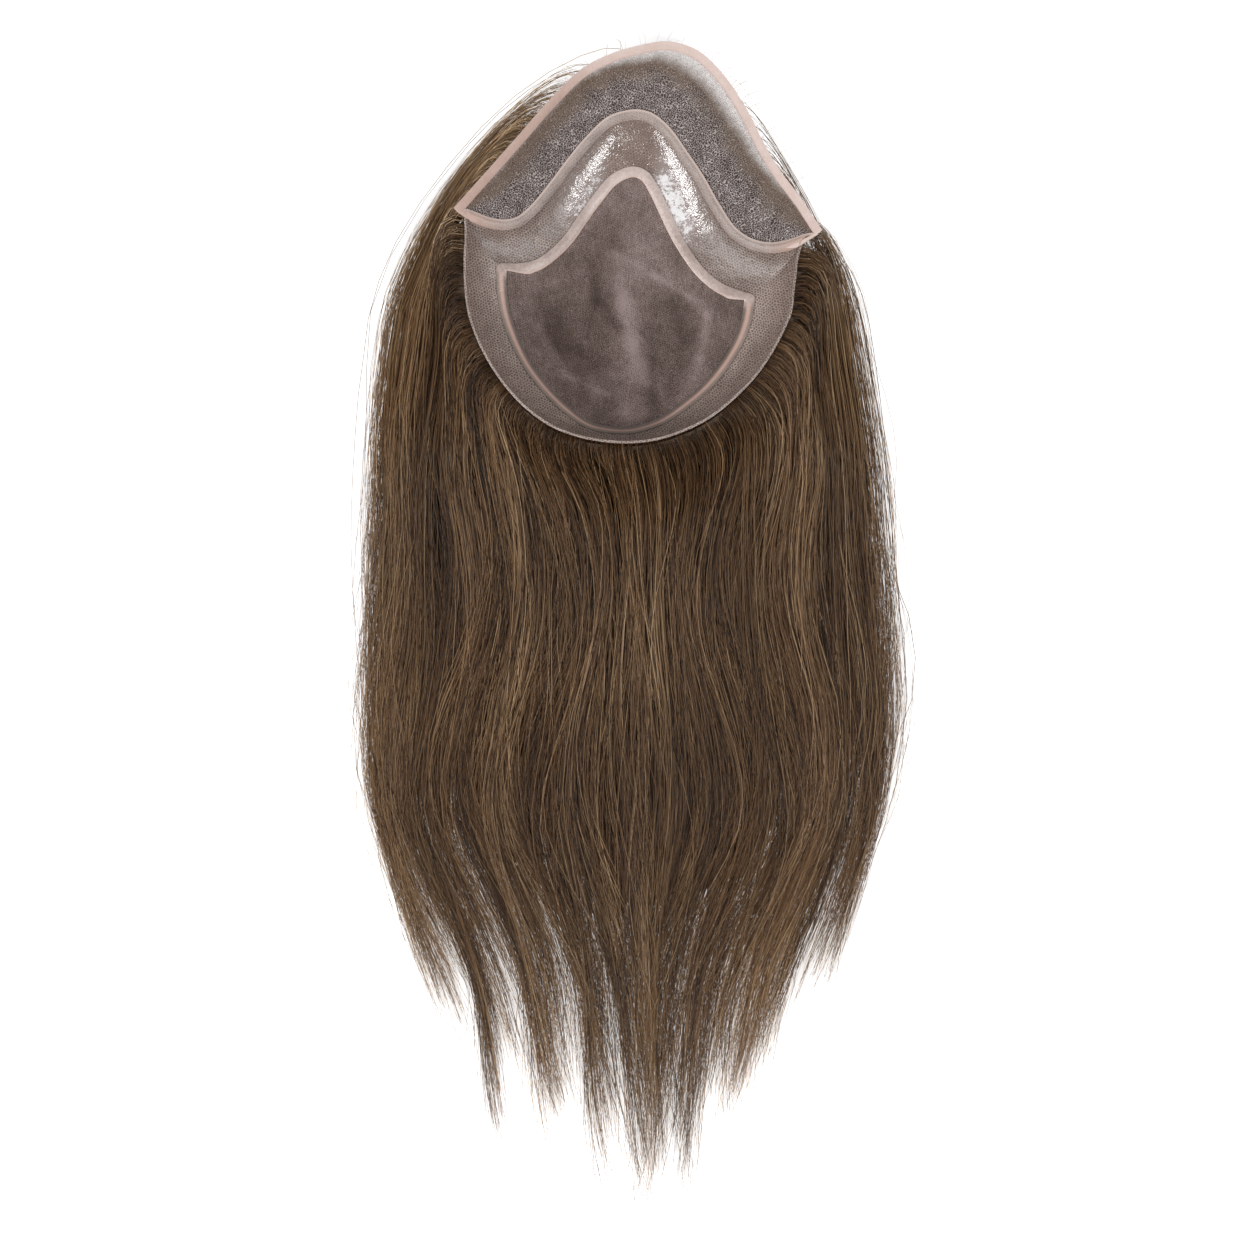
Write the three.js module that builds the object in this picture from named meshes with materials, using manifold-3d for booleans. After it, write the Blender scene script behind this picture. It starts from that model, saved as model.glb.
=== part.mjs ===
// A long-haired toupee lying inside up on its own hair: a cap of nets and clear skin turned face
// up, seams bound with ribbon, a lace front, and straight hair fanned out below it to the tips.
// Millimetres, +Z up, the floor at z = 0, the hair streaming towards -Y and the front at +Y.
import * as THREE from "three";
import { mergeVertices } from "three/addons/utils/BufferGeometryUtils.js";
import Module from "manifold-3d";

// Driving sizes of the cap.
const capWidth = 166; // across the side rims
const capFront = 130; // from the crown's centre to the front hairline
const capBack = 72; // from the crown's centre to the back rim
const capHeight = 46; // from the crown's lowest point to the back rim
const capTurn = -3.5; // degrees, the cap's lie on the hair, seen from above
const crownFloor = 12; // the crown's lowest point above the floor
const crownRise = 80; // how the crown net sags: its rise to the sides over the cap's width,
const crownBackRise = 20; // behind its centre over the cap's back,
const crownFrontRise = 6; // and in front of it
const netWall = 1.2; // nets, skin and lace
const bindingWall = 1.8; // ribbons over the seams
const bindingWidth = 5;
const tapeWidth = 4.5; // ribbon along the front hairline
const bindingLift = 0.3; // a ribbon's middle stands this much inside the net's middle
const seamGap = 0.4; // between two pieces sewn edge to edge

// Driving sizes of the hair.
const hairReach = 445; // from the crown's centre to the longest tips
const hairWidth = 272;
const hairHeight = 43; // top of the hair just behind the back rim
const hairGap = 0.8; // between the cap's outside and the hair tied under it
const rootInset = 8; // the hair starts this far in from the rim
const lockSides = 5;
const lockSteps = 8;

// Outlines of the cap, each row a point: x as a share of half the width, y as a share of the
// length in front of or behind the crown's centre, z as a share of the height over the crown.
const frontLine = [
  { x: -1.101, y: 0.301, z: 0.65 }, { x: -0.876, y: 0.485, z: 0.57 }, { x: -0.726, y: 0.609, z: 0.53 },
  { x: -0.576, y: 0.734, z: 0.5 }, { x: -0.379, y: 0.871, z: 0.5 }, { x: -0.207, y: 0.935, z: 0.52 },
  { x: -0.033, y: 0.974, z: 0.54 }, { x: 0.126, y: 0.994, z: 0.55 }, { x: 0.3, y: 0.97, z: 0.52 },
  { x: 0.408, y: 0.922, z: 0.5 }, { x: 0.511, y: 0.854, z: 0.49 }, { x: 0.635, y: 0.745, z: 0.49 },
  { x: 0.743, y: 0.626, z: 0.51 }, { x: 0.85, y: 0.526, z: 0.54 }, { x: 0.99, y: 0.419, z: 0.59 },
  { x: 1.126, y: 0.302, z: 0.65 },
];
const waveLine = [
  { x: -1.031, y: 0.289, z: 0.63 }, { x: -0.96, y: 0.272, z: 0.57 }, { x: -0.863, y: 0.256, z: 0.5 },
  { x: -0.779, y: 0.255, z: 0.45 }, { x: -0.702, y: 0.271, z: 0.41 }, { x: -0.616, y: 0.323, z: 0.37 },
  { x: -0.516, y: 0.411, z: 0.33 }, { x: -0.417, y: 0.508, z: 0.3 }, { x: -0.317, y: 0.596, z: 0.28 },
  { x: -0.198, y: 0.678, z: 0.27 }, { x: -0.104, y: 0.705, z: 0.27 }, { x: -0.026, y: 0.713, z: 0.27 },
  { x: 0.05, y: 0.703, z: 0.26 }, { x: 0.155, y: 0.653, z: 0.25 }, { x: 0.266, y: 0.565, z: 0.26 },
  { x: 0.371, y: 0.477, z: 0.28 }, { x: 0.471, y: 0.377, z: 0.32 }, { x: 0.582, y: 0.285, z: 0.36 },
  { x: 0.683, y: 0.244, z: 0.4 }, { x: 0.799, y: 0.228, z: 0.47 }, { x: 0.907, y: 0.238, z: 0.54 },
  { x: 1.012, y: 0.266, z: 0.61 },
];
const crownFrontLine = [
  { x: -0.793, y: 0.087, z: 0.33 }, { x: -0.667, y: 0.095, z: 0.26 }, { x: -0.566, y: 0.117, z: 0.22 },
  { x: -0.474, y: 0.165, z: 0.19 }, { x: -0.398, y: 0.222, z: 0.17 }, { x: -0.324, y: 0.299, z: 0.16 },
  { x: -0.242, y: 0.381, z: 0.15 }, { x: -0.154, y: 0.454, z: 0.15 }, { x: -0.077, y: 0.486, z: 0.15 },
  { x: -0.02, y: 0.493, z: 0.15 }, { x: 0.034, y: 0.479, z: 0.15 }, { x: 0.091, y: 0.435, z: 0.14 },
  { x: 0.163, y: 0.355, z: 0.13 }, { x: 0.236, y: 0.27, z: 0.12 }, { x: 0.325, y: 0.186, z: 0.13 },
  { x: 0.42, y: 0.117, z: 0.15 }, { x: 0.522, y: 0.07, z: 0.18 }, { x: 0.623, y: 0.044, z: 0.24 },
  { x: 0.716, y: 0.028, z: 0.3 },
];
const crownBackLine = [
  { x: 0.716, y: 0.028, z: 0.3 }, { x: 0.703, y: -0.104, z: 0.3 }, { x: 0.664, y: -0.255, z: 0.31 },
  { x: 0.591, y: -0.419, z: 0.34 }, { x: 0.487, y: -0.585, z: 0.37 }, { x: 0.364, y: -0.724, z: 0.41 },
  { x: 0.226, y: -0.845, z: 0.45 }, { x: 0.06, y: -0.92, z: 0.49 }, { x: -0.061, y: -0.931, z: 0.49 },
  { x: -0.208, y: -0.905, z: 0.48 }, { x: -0.342, y: -0.811, z: 0.44 }, { x: -0.487, y: -0.663, z: 0.39 },
  { x: -0.609, y: -0.495, z: 0.35 }, { x: -0.7, y: -0.305, z: 0.33 }, { x: -0.758, y: -0.132, z: 0.32 },
  { x: -0.784, y: 0.014, z: 0.32 }, { x: -0.793, y: 0.087, z: 0.33 },
];
const rimLine = [
  { x: 1.012, y: 0.266, z: 0.61 }, { x: 0.985, y: 0.2, z: 0.62 }, { x: 0.972, y: 0.1, z: 0.64 },
  { x: 0.96, y: -0.03, z: 0.67 }, { x: 0.939, y: -0.106, z: 0.69 }, { x: 0.868, y: -0.296, z: 0.74 },
  { x: 0.78, y: -0.47, z: 0.8 }, { x: 0.66, y: -0.637, z: 0.87 }, { x: 0.506, y: -0.797, z: 0.93 },
  { x: 0.35, y: -0.901, z: 0.97 }, { x: 0.192, y: -0.969, z: 0.99 }, { x: 0.032, y: -0.999, z: 1 },
  { x: -0.097, y: -1, z: 1 }, { x: -0.244, y: -0.981, z: 0.99 }, { x: -0.408, y: -0.927, z: 0.96 },
  { x: -0.559, y: -0.826, z: 0.91 }, { x: -0.696, y: -0.686, z: 0.86 }, { x: -0.819, y: -0.509, z: 0.79 },
  { x: -0.909, y: -0.329, z: 0.73 }, { x: -0.966, y: -0.165, z: 0.68 }, { x: -0.998, y: 0.02, z: 0.65 },
  { x: -1.01, y: 0.12, z: 0.63 }, { x: -1.014, y: 0.2, z: 0.62 }, { x: -1.031, y: 0.289, z: 0.63 },
];

// Soft folds of the crown net: a straight run between two points, as shares of half the width,
// with its spread and its rise in millimetres.
const crownFolds = [
  { x0: 0.02, y0: 0.36, x1: 0.05, y1: -0.66, spread: 9, rise: 4 },
  { x0: -0.16, y0: 0.34, x1: -0.2, y1: -0.32, spread: 8, rise: -3 },
  { x0: 0.12, y0: 0.3, x1: 0.46, y1: -0.02, spread: 7, rise: 2.6 },
  { x0: 0.46, y0: -0.06, x1: 0.42, y1: -0.42, spread: 7, rise: 2.2 },
  { x0: -0.5, y0: -0.1, x1: -0.26, y1: -0.5, spread: 9, rise: -2 },
  { x0: 0.22, y0: -0.2, x1: 0.24, y1: -0.5, spread: 8, rise: -2.4 },
];

// The hair's spread to each side as a share of half its width, and its top as a share of its
// height, at shares of its reach behind the crown's centre.
const hairSpread = [
  { at: -0.29, left: 0.15, right: 0.15, top: 0.72 }, { at: -0.264, left: 0.27, right: 0.25, top: 0.76 },
  { at: -0.202, left: 0.48, right: 0.475, top: 0.82 }, { at: -0.135, left: 0.65, right: 0.62, top: 0.88 },
  { at: -0.079, left: 0.77, right: 0.72, top: 0.92 }, { at: 0, left: 0.88, right: 0.82, top: 0.96 },
  { at: 0.112, left: 0.93, right: 0.88, top: 1 }, { at: 0.169, left: 0.94, right: 0.91, top: 0.97 },
  { at: 0.225, left: 0.95, right: 0.93, top: 0.8 }, { at: 0.337, left: 0.97, right: 0.965, top: 0.58 },
  { at: 0.449, left: 1, right: 1, top: 0.44 }, { at: 0.562, left: 0.985, right: 0.965, top: 0.35 },
  { at: 0.674, left: 0.89, right: 0.875, top: 0.27 }, { at: 0.787, left: 0.77, right: 0.77, top: 0.2 },
  { at: 0.899, left: 0.68, right: 0.68, top: 0.14 }, { at: 1, left: 0.6, right: 0.6, top: 0.1 },
];

// The locks, from the left round the back to the right: their place across the hair (-1 to 1),
// the layer they lie in (1 is the top), width in millimetres, and where the tip ends.
const locks = [
  { across: -0.99, layer: 0.5, width: 18, tip: 0.62 }, { across: -0.92, layer: 0.66, width: 22, tip: 0.73 },
  { across: -0.84, layer: 0.72, width: 23, tip: 0.79 }, { across: -0.73, layer: 0.66, width: 22, tip: 0.86 },
  { across: -0.61, layer: 0.76, width: 23, tip: 0.85 }, { across: -0.49, layer: 0.68, width: 22, tip: 0.93 },
  { across: -0.37, layer: 0.77, width: 23, tip: 0.92 }, { across: -0.26, layer: 0.7, width: 21, tip: 0.985 },
  { across: -0.15, layer: 0.78, width: 22, tip: 0.955 }, { across: -0.04, layer: 0.72, width: 21, tip: 1 },
  { across: 0.07, layer: 0.78, width: 22, tip: 0.97 }, { across: 0.18, layer: 0.7, width: 21, tip: 0.99 },
  { across: 0.29, layer: 0.77, width: 22, tip: 0.935 }, { across: 0.41, layer: 0.69, width: 22, tip: 0.96 },
  { across: 0.52, layer: 0.76, width: 23, tip: 0.89 }, { across: 0.63, layer: 0.68, width: 22, tip: 0.85 },
  { across: 0.74, layer: 0.75, width: 23, tip: 0.84 }, { across: 0.84, layer: 0.66, width: 22, tip: 0.77 },
  { across: 0.92, layer: 0.66, width: 22, tip: 0.71 }, { across: 0.99, layer: 0.5, width: 18, tip: 0.6 },
  { across: -0.88, layer: 0.32, width: 34, tip: 0.7 }, { across: -0.6, layer: 0.34, width: 40, tip: 0.83 },
  { across: -0.31, layer: 0.34, width: 40, tip: 0.91 }, { across: 0, layer: 0.34, width: 42, tip: 0.95 },
  { across: 0.32, layer: 0.34, width: 40, tip: 0.92 }, { across: 0.6, layer: 0.34, width: 40, tip: 0.82 },
  { across: 0.88, layer: 0.32, width: 34, tip: 0.68 },
];

// Where a lock leaves the cap: its place across the hair against its place along the outline,
// 0 at the middle of the back rim, 1 at the wing and 2 at the middle of the front hairline.
const lockRoots = [
  { across: 0, along: 0 }, { across: 0.53, along: 0.5 }, { across: 0.72, along: 0.76 },
  { across: 0.83, along: 1 }, { across: 0.92, along: 1.35 }, { across: 1, along: 1.75 },
];

const wasm = await Module();
wasm.setup();

const lerp = THREE.MathUtils.lerp;
const clamp = THREE.MathUtils.clamp;
const vector = (x, y, z) => new THREE.Vector3(x, y, z);
const capAxis = vector(0, 0, 1);
const turn = THREE.MathUtils.degToRad(capTurn);

// A row's value in a table, read at a place between its rows.
function between(rows, key, place, column) {
  const last = rows.length - 1;
  if (place <= rows[0][key]) return rows[0][column];
  for (let i = 0; i < last; i++)
    if (place <= rows[i + 1][key]) {
      const share = (place - rows[i][key]) / (rows[i + 1][key] - rows[i][key]);
      return lerp(rows[i][column], rows[i + 1][column], share);
    }
  return rows[last][column];
}

// An outline of the cap as a smooth curve through its table, turned as the cap lies.
function outline(rows) {
  const points = rows.map(({ x, y, z }) =>
    vector(
      (x * capWidth) / 2,
      y * (y > 0 ? capFront : capBack),
      crownFloor + z * capHeight,
    ).applyAxisAngle(capAxis, turn),
  );
  const curve = new THREE.CatmullRomCurve3(points, false, "centripetal");
  curve.arcLengthDivisions = 400;
  return curve;
}
const front = outline(frontLine);
const wave = outline(waveLine);
const crownFront = outline(crownFrontLine);
const crownBack = outline(crownBackLine);
const rim = outline(rimLine);

function crownFold(x, y) {
  let rise = 0;
  const place = new THREE.Vector2(x, y).rotateAround(new THREE.Vector2(), -turn);
  for (const fold of crownFolds) {
    const half = capWidth / 2;
    const from = new THREE.Vector2(fold.x0 * half, fold.y0 * half);
    const run = new THREE.Vector2(fold.x1 * half, fold.y1 * half).sub(from);
    const along = clamp(place.clone().sub(from).dot(run) / run.lengthSq(), 0, 1);
    const off = place.distanceTo(from.clone().addScaledVector(run, along));
    rise += fold.rise * Math.exp(-((off / fold.spread) ** 2));
  }
  return rise;
}

// A point of the cap's middle surface: s runs once round it, from the left wing over the front
// to 0.5 at the right wing and back round the rim; t is 0 at the crown's centre, 1 on the crown
// seam, 2 on the wave seam in front and on the rim behind, and 3 on the front hairline.
function capPoint(s, t) {
  const round = t > 2 ? clamp(s, 0, 0.5) : s - Math.floor(s);
  const ahead = round <= 0.5;
  const share = ahead ? round * 2 : round * 2 - 1;
  const seam = (ahead ? crownFront : crownBack).getPointAt(share);
  if (t <= 1) {
    const x = seam.x * t;
    const y = seam.y * t;
    const open = crownRise * (x / capWidth) ** 2 + (y < 0 ? crownBackRise : crownFrontRise) * (y / capBack) ** 2;
    const z = lerp(crownFloor + open + crownFold(x, y), seam.z, t ** 4);
    return vector(x, y, z);
  }
  const edge = (ahead ? wave : rim).getPointAt(share);
  const from = t <= 2 ? seam : edge;
  const to = t <= 2 ? edge : front.getPointAt(share);
  const along = t <= 2 ? t - 1 : t - 2;
  const point = from.clone().lerp(to, along);
  const belly = (t <= 2 ? 0.1 : 0.05) * from.distanceTo(to) * 4 * along * (1 - along);
  const out = vector(point.x, point.y, 0).normalize();
  return point.addScaledVector(out, belly * 0.7).addScaledVector(capAxis, -belly * 0.7);
}

function capSlopes(s, t, side = 0) {
  const before = t + (side > 0 ? 0 : -0.02);
  const after = t + (side < 0 ? 0 : 0.02);
  const limit = t > 2 || (side > 0 && t >= 2);
  const s0 = limit ? clamp(s - 0.004, 0, 0.5) : s - 0.004;
  const s1 = limit ? clamp(s + 0.004, 0, 0.5) : s + 0.004;
  const level = side > 0 ? t + 0.001 : side < 0 ? t - 0.001 : t;
  const round = capPoint(s1, level).sub(capPoint(s0, level)).divideScalar(s1 - s0);
  const across = capPoint(s, after).sub(capPoint(s, Math.max(before, 0)));
  return { round, across: across.divideScalar(after - Math.max(before, 0)) };
}

// The direction into the bowl, square to the cap's surface.
function capNormal(s, t, side = 0) {
  if (t < 0.03) return capAxis.clone();
  const { round, across } = capSlopes(s, t, side);
  const normal = across.cross(round).normalize();
  return normal.z < 0 ? normal.negate() : normal;
}

// How far t moves for a width measured square to a seam, on one side of it.
function seamStep(s, t, width, side) {
  const { round, across } = capSlopes(s, t, side);
  return (width * round.length()) / round.clone().cross(across).length();
}

// Borders of the pieces, each a value of t at s.
const capSteps = 54; // steps round the cap, shared by neighbours so that their borders run parallel
const half = bindingWidth / 2;
const crownEdge = (s, inset) => 1 - clamp(seamStep(s, 1, inset, -1), 0.01, 0.3);
const skinEdge = (s, inset) => 1 + clamp(seamStep(s, 1, inset, 1), 0.02, 0.6);
const tapeEdge = (s, inset) => 3 - clamp(seamStep(s, 3, inset, -1), 0.02, 0.85);
const waveBack = (s, inset) => 2 - clamp(seamStep(s, 2, inset, -1), 0.02, 0.6);
const waveFront = (s, inset) =>
  Math.min(2 + seamStep(s, 2, inset, 1), tapeEdge(s, tapeWidth + seamGap));
const skinOuter = (s) => {
  const round = s - Math.floor(s);
  return round > 0.5 ? 2 : waveBack(round, half + seamGap);
};

// The rim's part of the skin runs up to the wave binding's ends, so its corners are eased.
function eased(border, s) {
  const round = s - Math.floor(s);
  const wing = Math.min(round, Math.abs(round - 0.5), 1 - round);
  if (round <= 0.5 || wing > 0.03) return border(s);
  return lerp(waveBack(round > 0.75 ? 0 : 0.5, half + seamGap), 2, wing / 0.03);
}

function toSolid(geometry) {
  const bare = geometry.clone();
  bare.deleteAttribute("normal");
  bare.deleteAttribute("uv");
  const merged = mergeVertices(bare, 1e-4);
  const index = merged.index.array;
  const faces = [];
  for (let i = 0; i < index.length; i += 3) {
    const [a, b, c] = [index[i], index[i + 1], index[i + 2]];
    if (a !== b && b !== c && c !== a) faces.push(a, b, c);
  }
  const vertProperties = new Float32Array(merged.attributes.position.array);
  const made = new wasm.Manifold(
    new wasm.Mesh({ numProp: 3, vertProperties, triVerts: new Uint32Array(faces) }),
  );
  if (made.volume() >= 0) return made;
  for (let i = 0; i < faces.length; i += 3) [faces[i], faces[i + 1]] = [faces[i + 1], faces[i]];
  return new wasm.Manifold(
    new wasm.Mesh({ numProp: 3, vertProperties, triVerts: new Uint32Array(faces) }),
  );
}

function toGeometry(solid) {
  const { vertProperties, triVerts } = solid.getMesh();
  const geometry = new THREE.BufferGeometry();
  geometry.setAttribute("position", new THREE.BufferAttribute(new Float32Array(vertProperties), 3));
  geometry.setIndex(new THREE.BufferAttribute(new Uint32Array(triVerts), 1));
  return geometry;
}

// Small pockets closed in between crossing locks are filled: only the outer skin is kept.
function filled(solid) {
  const { vertProperties, triVerts } = solid.getMesh();
  const parent = [...Array(vertProperties.length / 3).keys()];
  const find = (a) => {
    while (parent[a] !== a) a = parent[a] = parent[parent[a]];
    return a;
  };
  for (let i = 0; i < triVerts.length; i += 3)
    for (const k of [1, 2]) parent[find(triVerts[i + k])] = find(triVerts[i]);
  const shells = new Map();
  for (let i = 0; i < triVerts.length; i += 3) {
    const shell = find(triVerts[i]);
    if (!shells.has(shell)) shells.set(shell, []);
    shells.get(shell).push(triVerts[i], triVerts[i + 1], triVerts[i + 2]);
  }
  const [outer] = [...shells.values()].sort((a, b) => b.length - a.length);
  return new wasm.Manifold(
    new wasm.Mesh({ numProp: 3, vertProperties, triVerts: new Uint32Array(outer) }),
  );
}

// A wall round the cap: a turned profile whose points hold (t share, wall share), bent onto the
// cap's surface between two borders.
function ringWall(profile, steps, place) {
  const points = profile.map(([across, level]) => new THREE.Vector2(across, level));
  const geometry = new THREE.LatheGeometry(points, steps);
  const position = geometry.attributes.position;
  for (let i = 0; i < position.count; i++) {
    const s = Math.floor(i / points.length) / steps;
    const { x, y } = points[i % points.length];
    const { x: px, y: py, z: pz } = place(s % 1, x, y);
    position.setXYZ(i, px, py, pz);
  }
  return toSolid(geometry);
}

function onCap(s, t, level, side = 0) {
  return capPoint(s, t).addScaledVector(capNormal(s, t, side), level);
}

function ringProfile(steps) {
  const top = [...Array(steps + 1).keys()].map((i) => [1 + i / steps, 0.5]);
  const under = top.map(([across]) => [across, -0.5]).reverse();
  return [...top, ...under, top[0]];
}

// A wall along part of the cap: a box bent onto its surface between two borders.
function stripWall(from, to, lengths, widths, place) {
  const geometry = new THREE.BoxGeometry(1, 1, 1, lengths, widths, 1);
  const position = geometry.attributes.position;
  for (let i = 0; i < position.count; i++) {
    const s = lerp(from, to, position.getX(i) + 0.5);
    const { x, y, z } = place(s, position.getY(i) + 0.5, position.getZ(i));
    position.setXYZ(i, x, y, z);
  }
  return toSolid(geometry);
}

// The crown net, a disc whose wall follows the folds.
const discRings = 5;
const discTop = [...Array(discRings + 1).keys()].map((i) => [i / discRings, 0.5]);
const discUnder = discTop.map(([across]) => [across, -0.5]).reverse();
const crownPanel = ringWall([...discTop, ...discUnder], capSteps, (s, across, wall) =>
  onCap(s, across * crownEdge(s, half + seamGap), wall * netWall, across > 0.99 ? -1 : 0),
);

// The ribbon round the crown, over the seam between crown net and skin.
const crownBinding = ringWall(ringProfile(2), capSteps, (s, across, wall) => {
  const t = across < 1.25 ? crownEdge(s, half) : across < 1.75 ? 1 : skinEdge(s, half);
  const side = across < 1.25 ? -1 : across < 1.75 ? 0 : 1;
  return onCap(s, t, bindingLift + wall * bindingWall, side);
});

// The clear skin over net, from the crown ribbon out to the wave seam and the cut back rim.
const skinBand = ringWall(ringProfile(3), capSteps, (s, across, wall) => {
  const t = lerp(skinEdge(s, half + seamGap), eased(skinOuter, s), across - 1);
  return onCap(s, t, wall * netWall, t < 1.5 ? 1 : -1);
});

// The wave ribbon, over the seam between the skin and the lace front.
const waveBinding = stripWall(0, 0.5, capSteps / 2, 2, (s, across, wall) => {
  const t = across < 0.25 ? waveBack(s, half) : across < 0.75 ? 2 : waveFront(s, half);
  const side = across < 0.25 ? -1 : across < 0.75 ? 0 : 1;
  return onCap(s, t, bindingLift + wall * bindingWall, side);
});

// The lace front, where it is wide enough to be seen between the wave and the hairline.
const laceFrom = (s) => waveFront(s, half + seamGap);
const laceTo = (s) => tapeEdge(s, tapeWidth + seamGap);
const laceWidth = (s) => capPoint(s, laceFrom(s)).distanceTo(capPoint(s, laceTo(s)));
let laceStart = 0;
while (laceWidth(laceStart / capSteps) < 2) laceStart += 1;
let laceEnd = capSteps / 2;
while (laceWidth(laceEnd / capSteps) < 2) laceEnd -= 1;
const laceSteps = laceEnd - laceStart;
const frontLace = stripWall(laceStart / capSteps, laceEnd / capSteps, laceSteps, 3, (s, across, wall) =>
  onCap(s, lerp(laceFrom(s), laceTo(s), across), wall * netWall, across < 0.5 ? 1 : -1),
);

// The ribbon along the front hairline, out to the wing tips.
const frontTape = stripWall(0, 0.5, capSteps / 2, 1, (s, across, wall) =>
  onCap(s, across < 0.5 ? tapeEdge(s, tapeWidth) : 3, bindingLift + wall * bindingWall, -1),
);

// The hair's flow lines: x across the hair at a place behind the crown's centre.
function flowX(across, at, sway = 0) {
  const side = across < 0 ? "left" : "right";
  const bend = sway * Math.sin(at * 7 + across * 5);
  return (across * hairWidth * between(hairSpread, "at", at, side)) / 2 + bend;
}
function flowTop(across, at) {
  const top = hairHeight * between(hairSpread, "at", at, "top");
  return top * (1 - 0.5 * Math.abs(across) ** 2.5);
}

// The backing under the cap that the locks are fused to: it follows the cap's outside, and
// beyond the rim it falls to the floor.
const flare = (s) => {
  const round = s - Math.floor(s);
  const ahead = round <= 0.5 ? Math.sin(round * 2 * Math.PI) : 0;
  return lerp(9, 3, ahead ** 3);
};

// Rows of points from the crown's centre to the rim, shared by the backing and the room above it.
function underRow(s, row) {
  if (row <= discRings) return (row / discRings) * crownEdge(s, half + seamGap);
  const share = (row - discRings - 1) / 4;
  return lerp(1, s <= 0.5 ? 3 : 2, share);
}
const lastRow = discRings + 5;
function underPoint(s, row, gap) {
  const t = underRow(s, row);
  const atWing = Math.min(s, Math.abs(s - 0.5), 1 - s) < 1.5 / capSteps;
  const slack = row > 0 && row < discRings ? 0.6 : row > discRings && atWing ? 1.6 : 0;
  return onCap(s, t, -(netWall / 2 + gap + slack), row === lastRow ? -1 : 0);
}
function backingPoint(s, row) {
  if (row <= discRings) return underPoint(s, row, hairGap + 0.15);
  const last = s <= 0.5 ? 3 : 2;
  const inset = last - clamp(seamStep(s, last, rootInset, -1), 0.05, 0.5);
  const share = Math.min(1, (row - discRings - 1) / 4);
  const edge = onCap(s, lerp(1, inset, share), -(netWall / 2 + hairGap + 0.15), share < 1 ? 0 : -1);
  if (row < lastRow) return edge;
  const fall = (row - lastRow) / 2;
  if (fall === 0) return edge;
  const out = vector(edge.x, edge.y, 0).normalize();
  return edge
    .addScaledVector(out, rootInset + flare(s) * fall ** 0.8)
    .setZ(lerp(edge.z - 4, 0, fall ** 1.6));
}
const rowsTo = (last) => [...Array(last + 1).keys()];
const backing = ringWall(
  [...rowsTo(lastRow + 2).map((row) => [row, 1]), [lastRow + 2, -1], [0, -1]],
  capSteps,
  (s, row, level) => {
    const point = backingPoint(s, row);
    return level > 0 ? point.setZ(Math.max(point.z, 0)) : point.setZ(-8);
  },
);

// The room the cap needs above the backing and the locks.
const clearance = ringWall(
  [...rowsTo(lastRow).map((row) => [row, -1]), [lastRow + 1, -1], [lastRow + 1, 1], [0, 1]],
  capSteps,
  (s, row, level) => {
    const point = underPoint(s, Math.min(row, lastRow), hairGap);
    if (row > lastRow) point.addScaledVector(vector(point.x, point.y, 0).normalize(), 2);
    return level > 0 ? point.setZ(crownFloor + capHeight * 2) : point;
  },
);

// A mat under the locks, thinner than they are, so that the fan is closed to near its tips.
const mat = (() => {
  const geometry = new THREE.BoxGeometry(1, 1, 1, 6, 7, 1);
  const position = geometry.attributes.position;
  for (let i = 0; i < position.count; i++) {
    const across = position.getX(i) * 2 * 0.93;
    const end = 0.86 - 0.28 * Math.abs(across) ** 2.2;
    const at = lerp(-0.02, end, 0.5 - position.getY(i));
    const top = Math.max(2, flowTop(across, at) * lerp(0.6, 0.35, (at / end) ** 2));
    position.setXYZ(i, flowX(across, at), -at * hairReach, position.getZ(i) > 0 ? top : -8);
  }
  return toSolid(geometry);
})();

// The cap's outline where the locks leave it: 0 at the back, 1 at a wing, 2 at the front.
function rootPoint(side, along) {
  const s = along <= 1 ? 0.75 + 0.25 * side * -along : (side < 0 ? 0 : 0.5) - side * 0.25 * (along - 1);
  return capPoint((s + 1) % 1, along <= 1 ? 2 : 3);
}

// A lock, a flattened tapering tube along its guide curve.
function lock({ across, layer, width, tip }) {
  const side = across < 0 ? -1 : 1;
  const edge = rootPoint(side, between(lockRoots, "across", Math.abs(across), "along"));
  const out = vector(edge.x, edge.y, 0).normalize();
  const low = lerp(0.3, 0.75, layer);
  const start = edge.clone().addScaledVector(out, -14).setZ(edge.z * low * 0.9);
  const exit = edge.clone().addScaledVector(out, 3).setZ(edge.z * low);
  const first = -exit.y / hairReach + 0.075;
  const guide = new THREE.CatmullRomCurve3([start, exit], false, "centripetal");
  for (const share of [0, 0.16, 0.34, 0.52, 0.7, 0.86, 1]) {
    const at = lerp(first, tip, share);
    const z = flowTop(across, at) * layer;
    const curl = 1 - 0.06 * share ** 4;
    guide.points.push(vector(flowX(across, at, 3) * curl, -at * hairReach, Math.max(z, 1.5)));
  }
  const geometry = new THREE.CylinderGeometry(1, 1, 1, lockSides, lockSteps);
  const position = geometry.attributes.position;
  const normal = vector();
  for (let i = 0; i < position.count; i++) {
    const share = clamp(position.getY(i) + 0.5, 0, 1);
    const centre = guide.getPointAt(share);
    const along = guide.getTangentAt(share);
    const sideways = vector(along.y, -along.x, 0).normalize();
    normal.crossVectors(sideways, along).normalize();
    const narrow = 1 - 0.35 * THREE.MathUtils.smoothstep(share, 0.5, 0.9);
    const taper = Math.min(1, 0.6 + share * 3) * narrow * lerp(1, 0.2, clamp(share * 7 - 6, 0, 1));
    const thick = Math.max(2.2, flowTop(across, clamp(-centre.y / hairReach, 0, 1)) * 0.52) * taper + 0.8;
    centre.addScaledVector(sideways, (position.getX(i) * width * taper) / 2);
    centre.addScaledVector(normal, (position.getZ(i) * thick) / 2);
    position.setXYZ(i, centre.x, centre.y, centre.z);
  }
  return toSolid(geometry);
}

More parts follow.
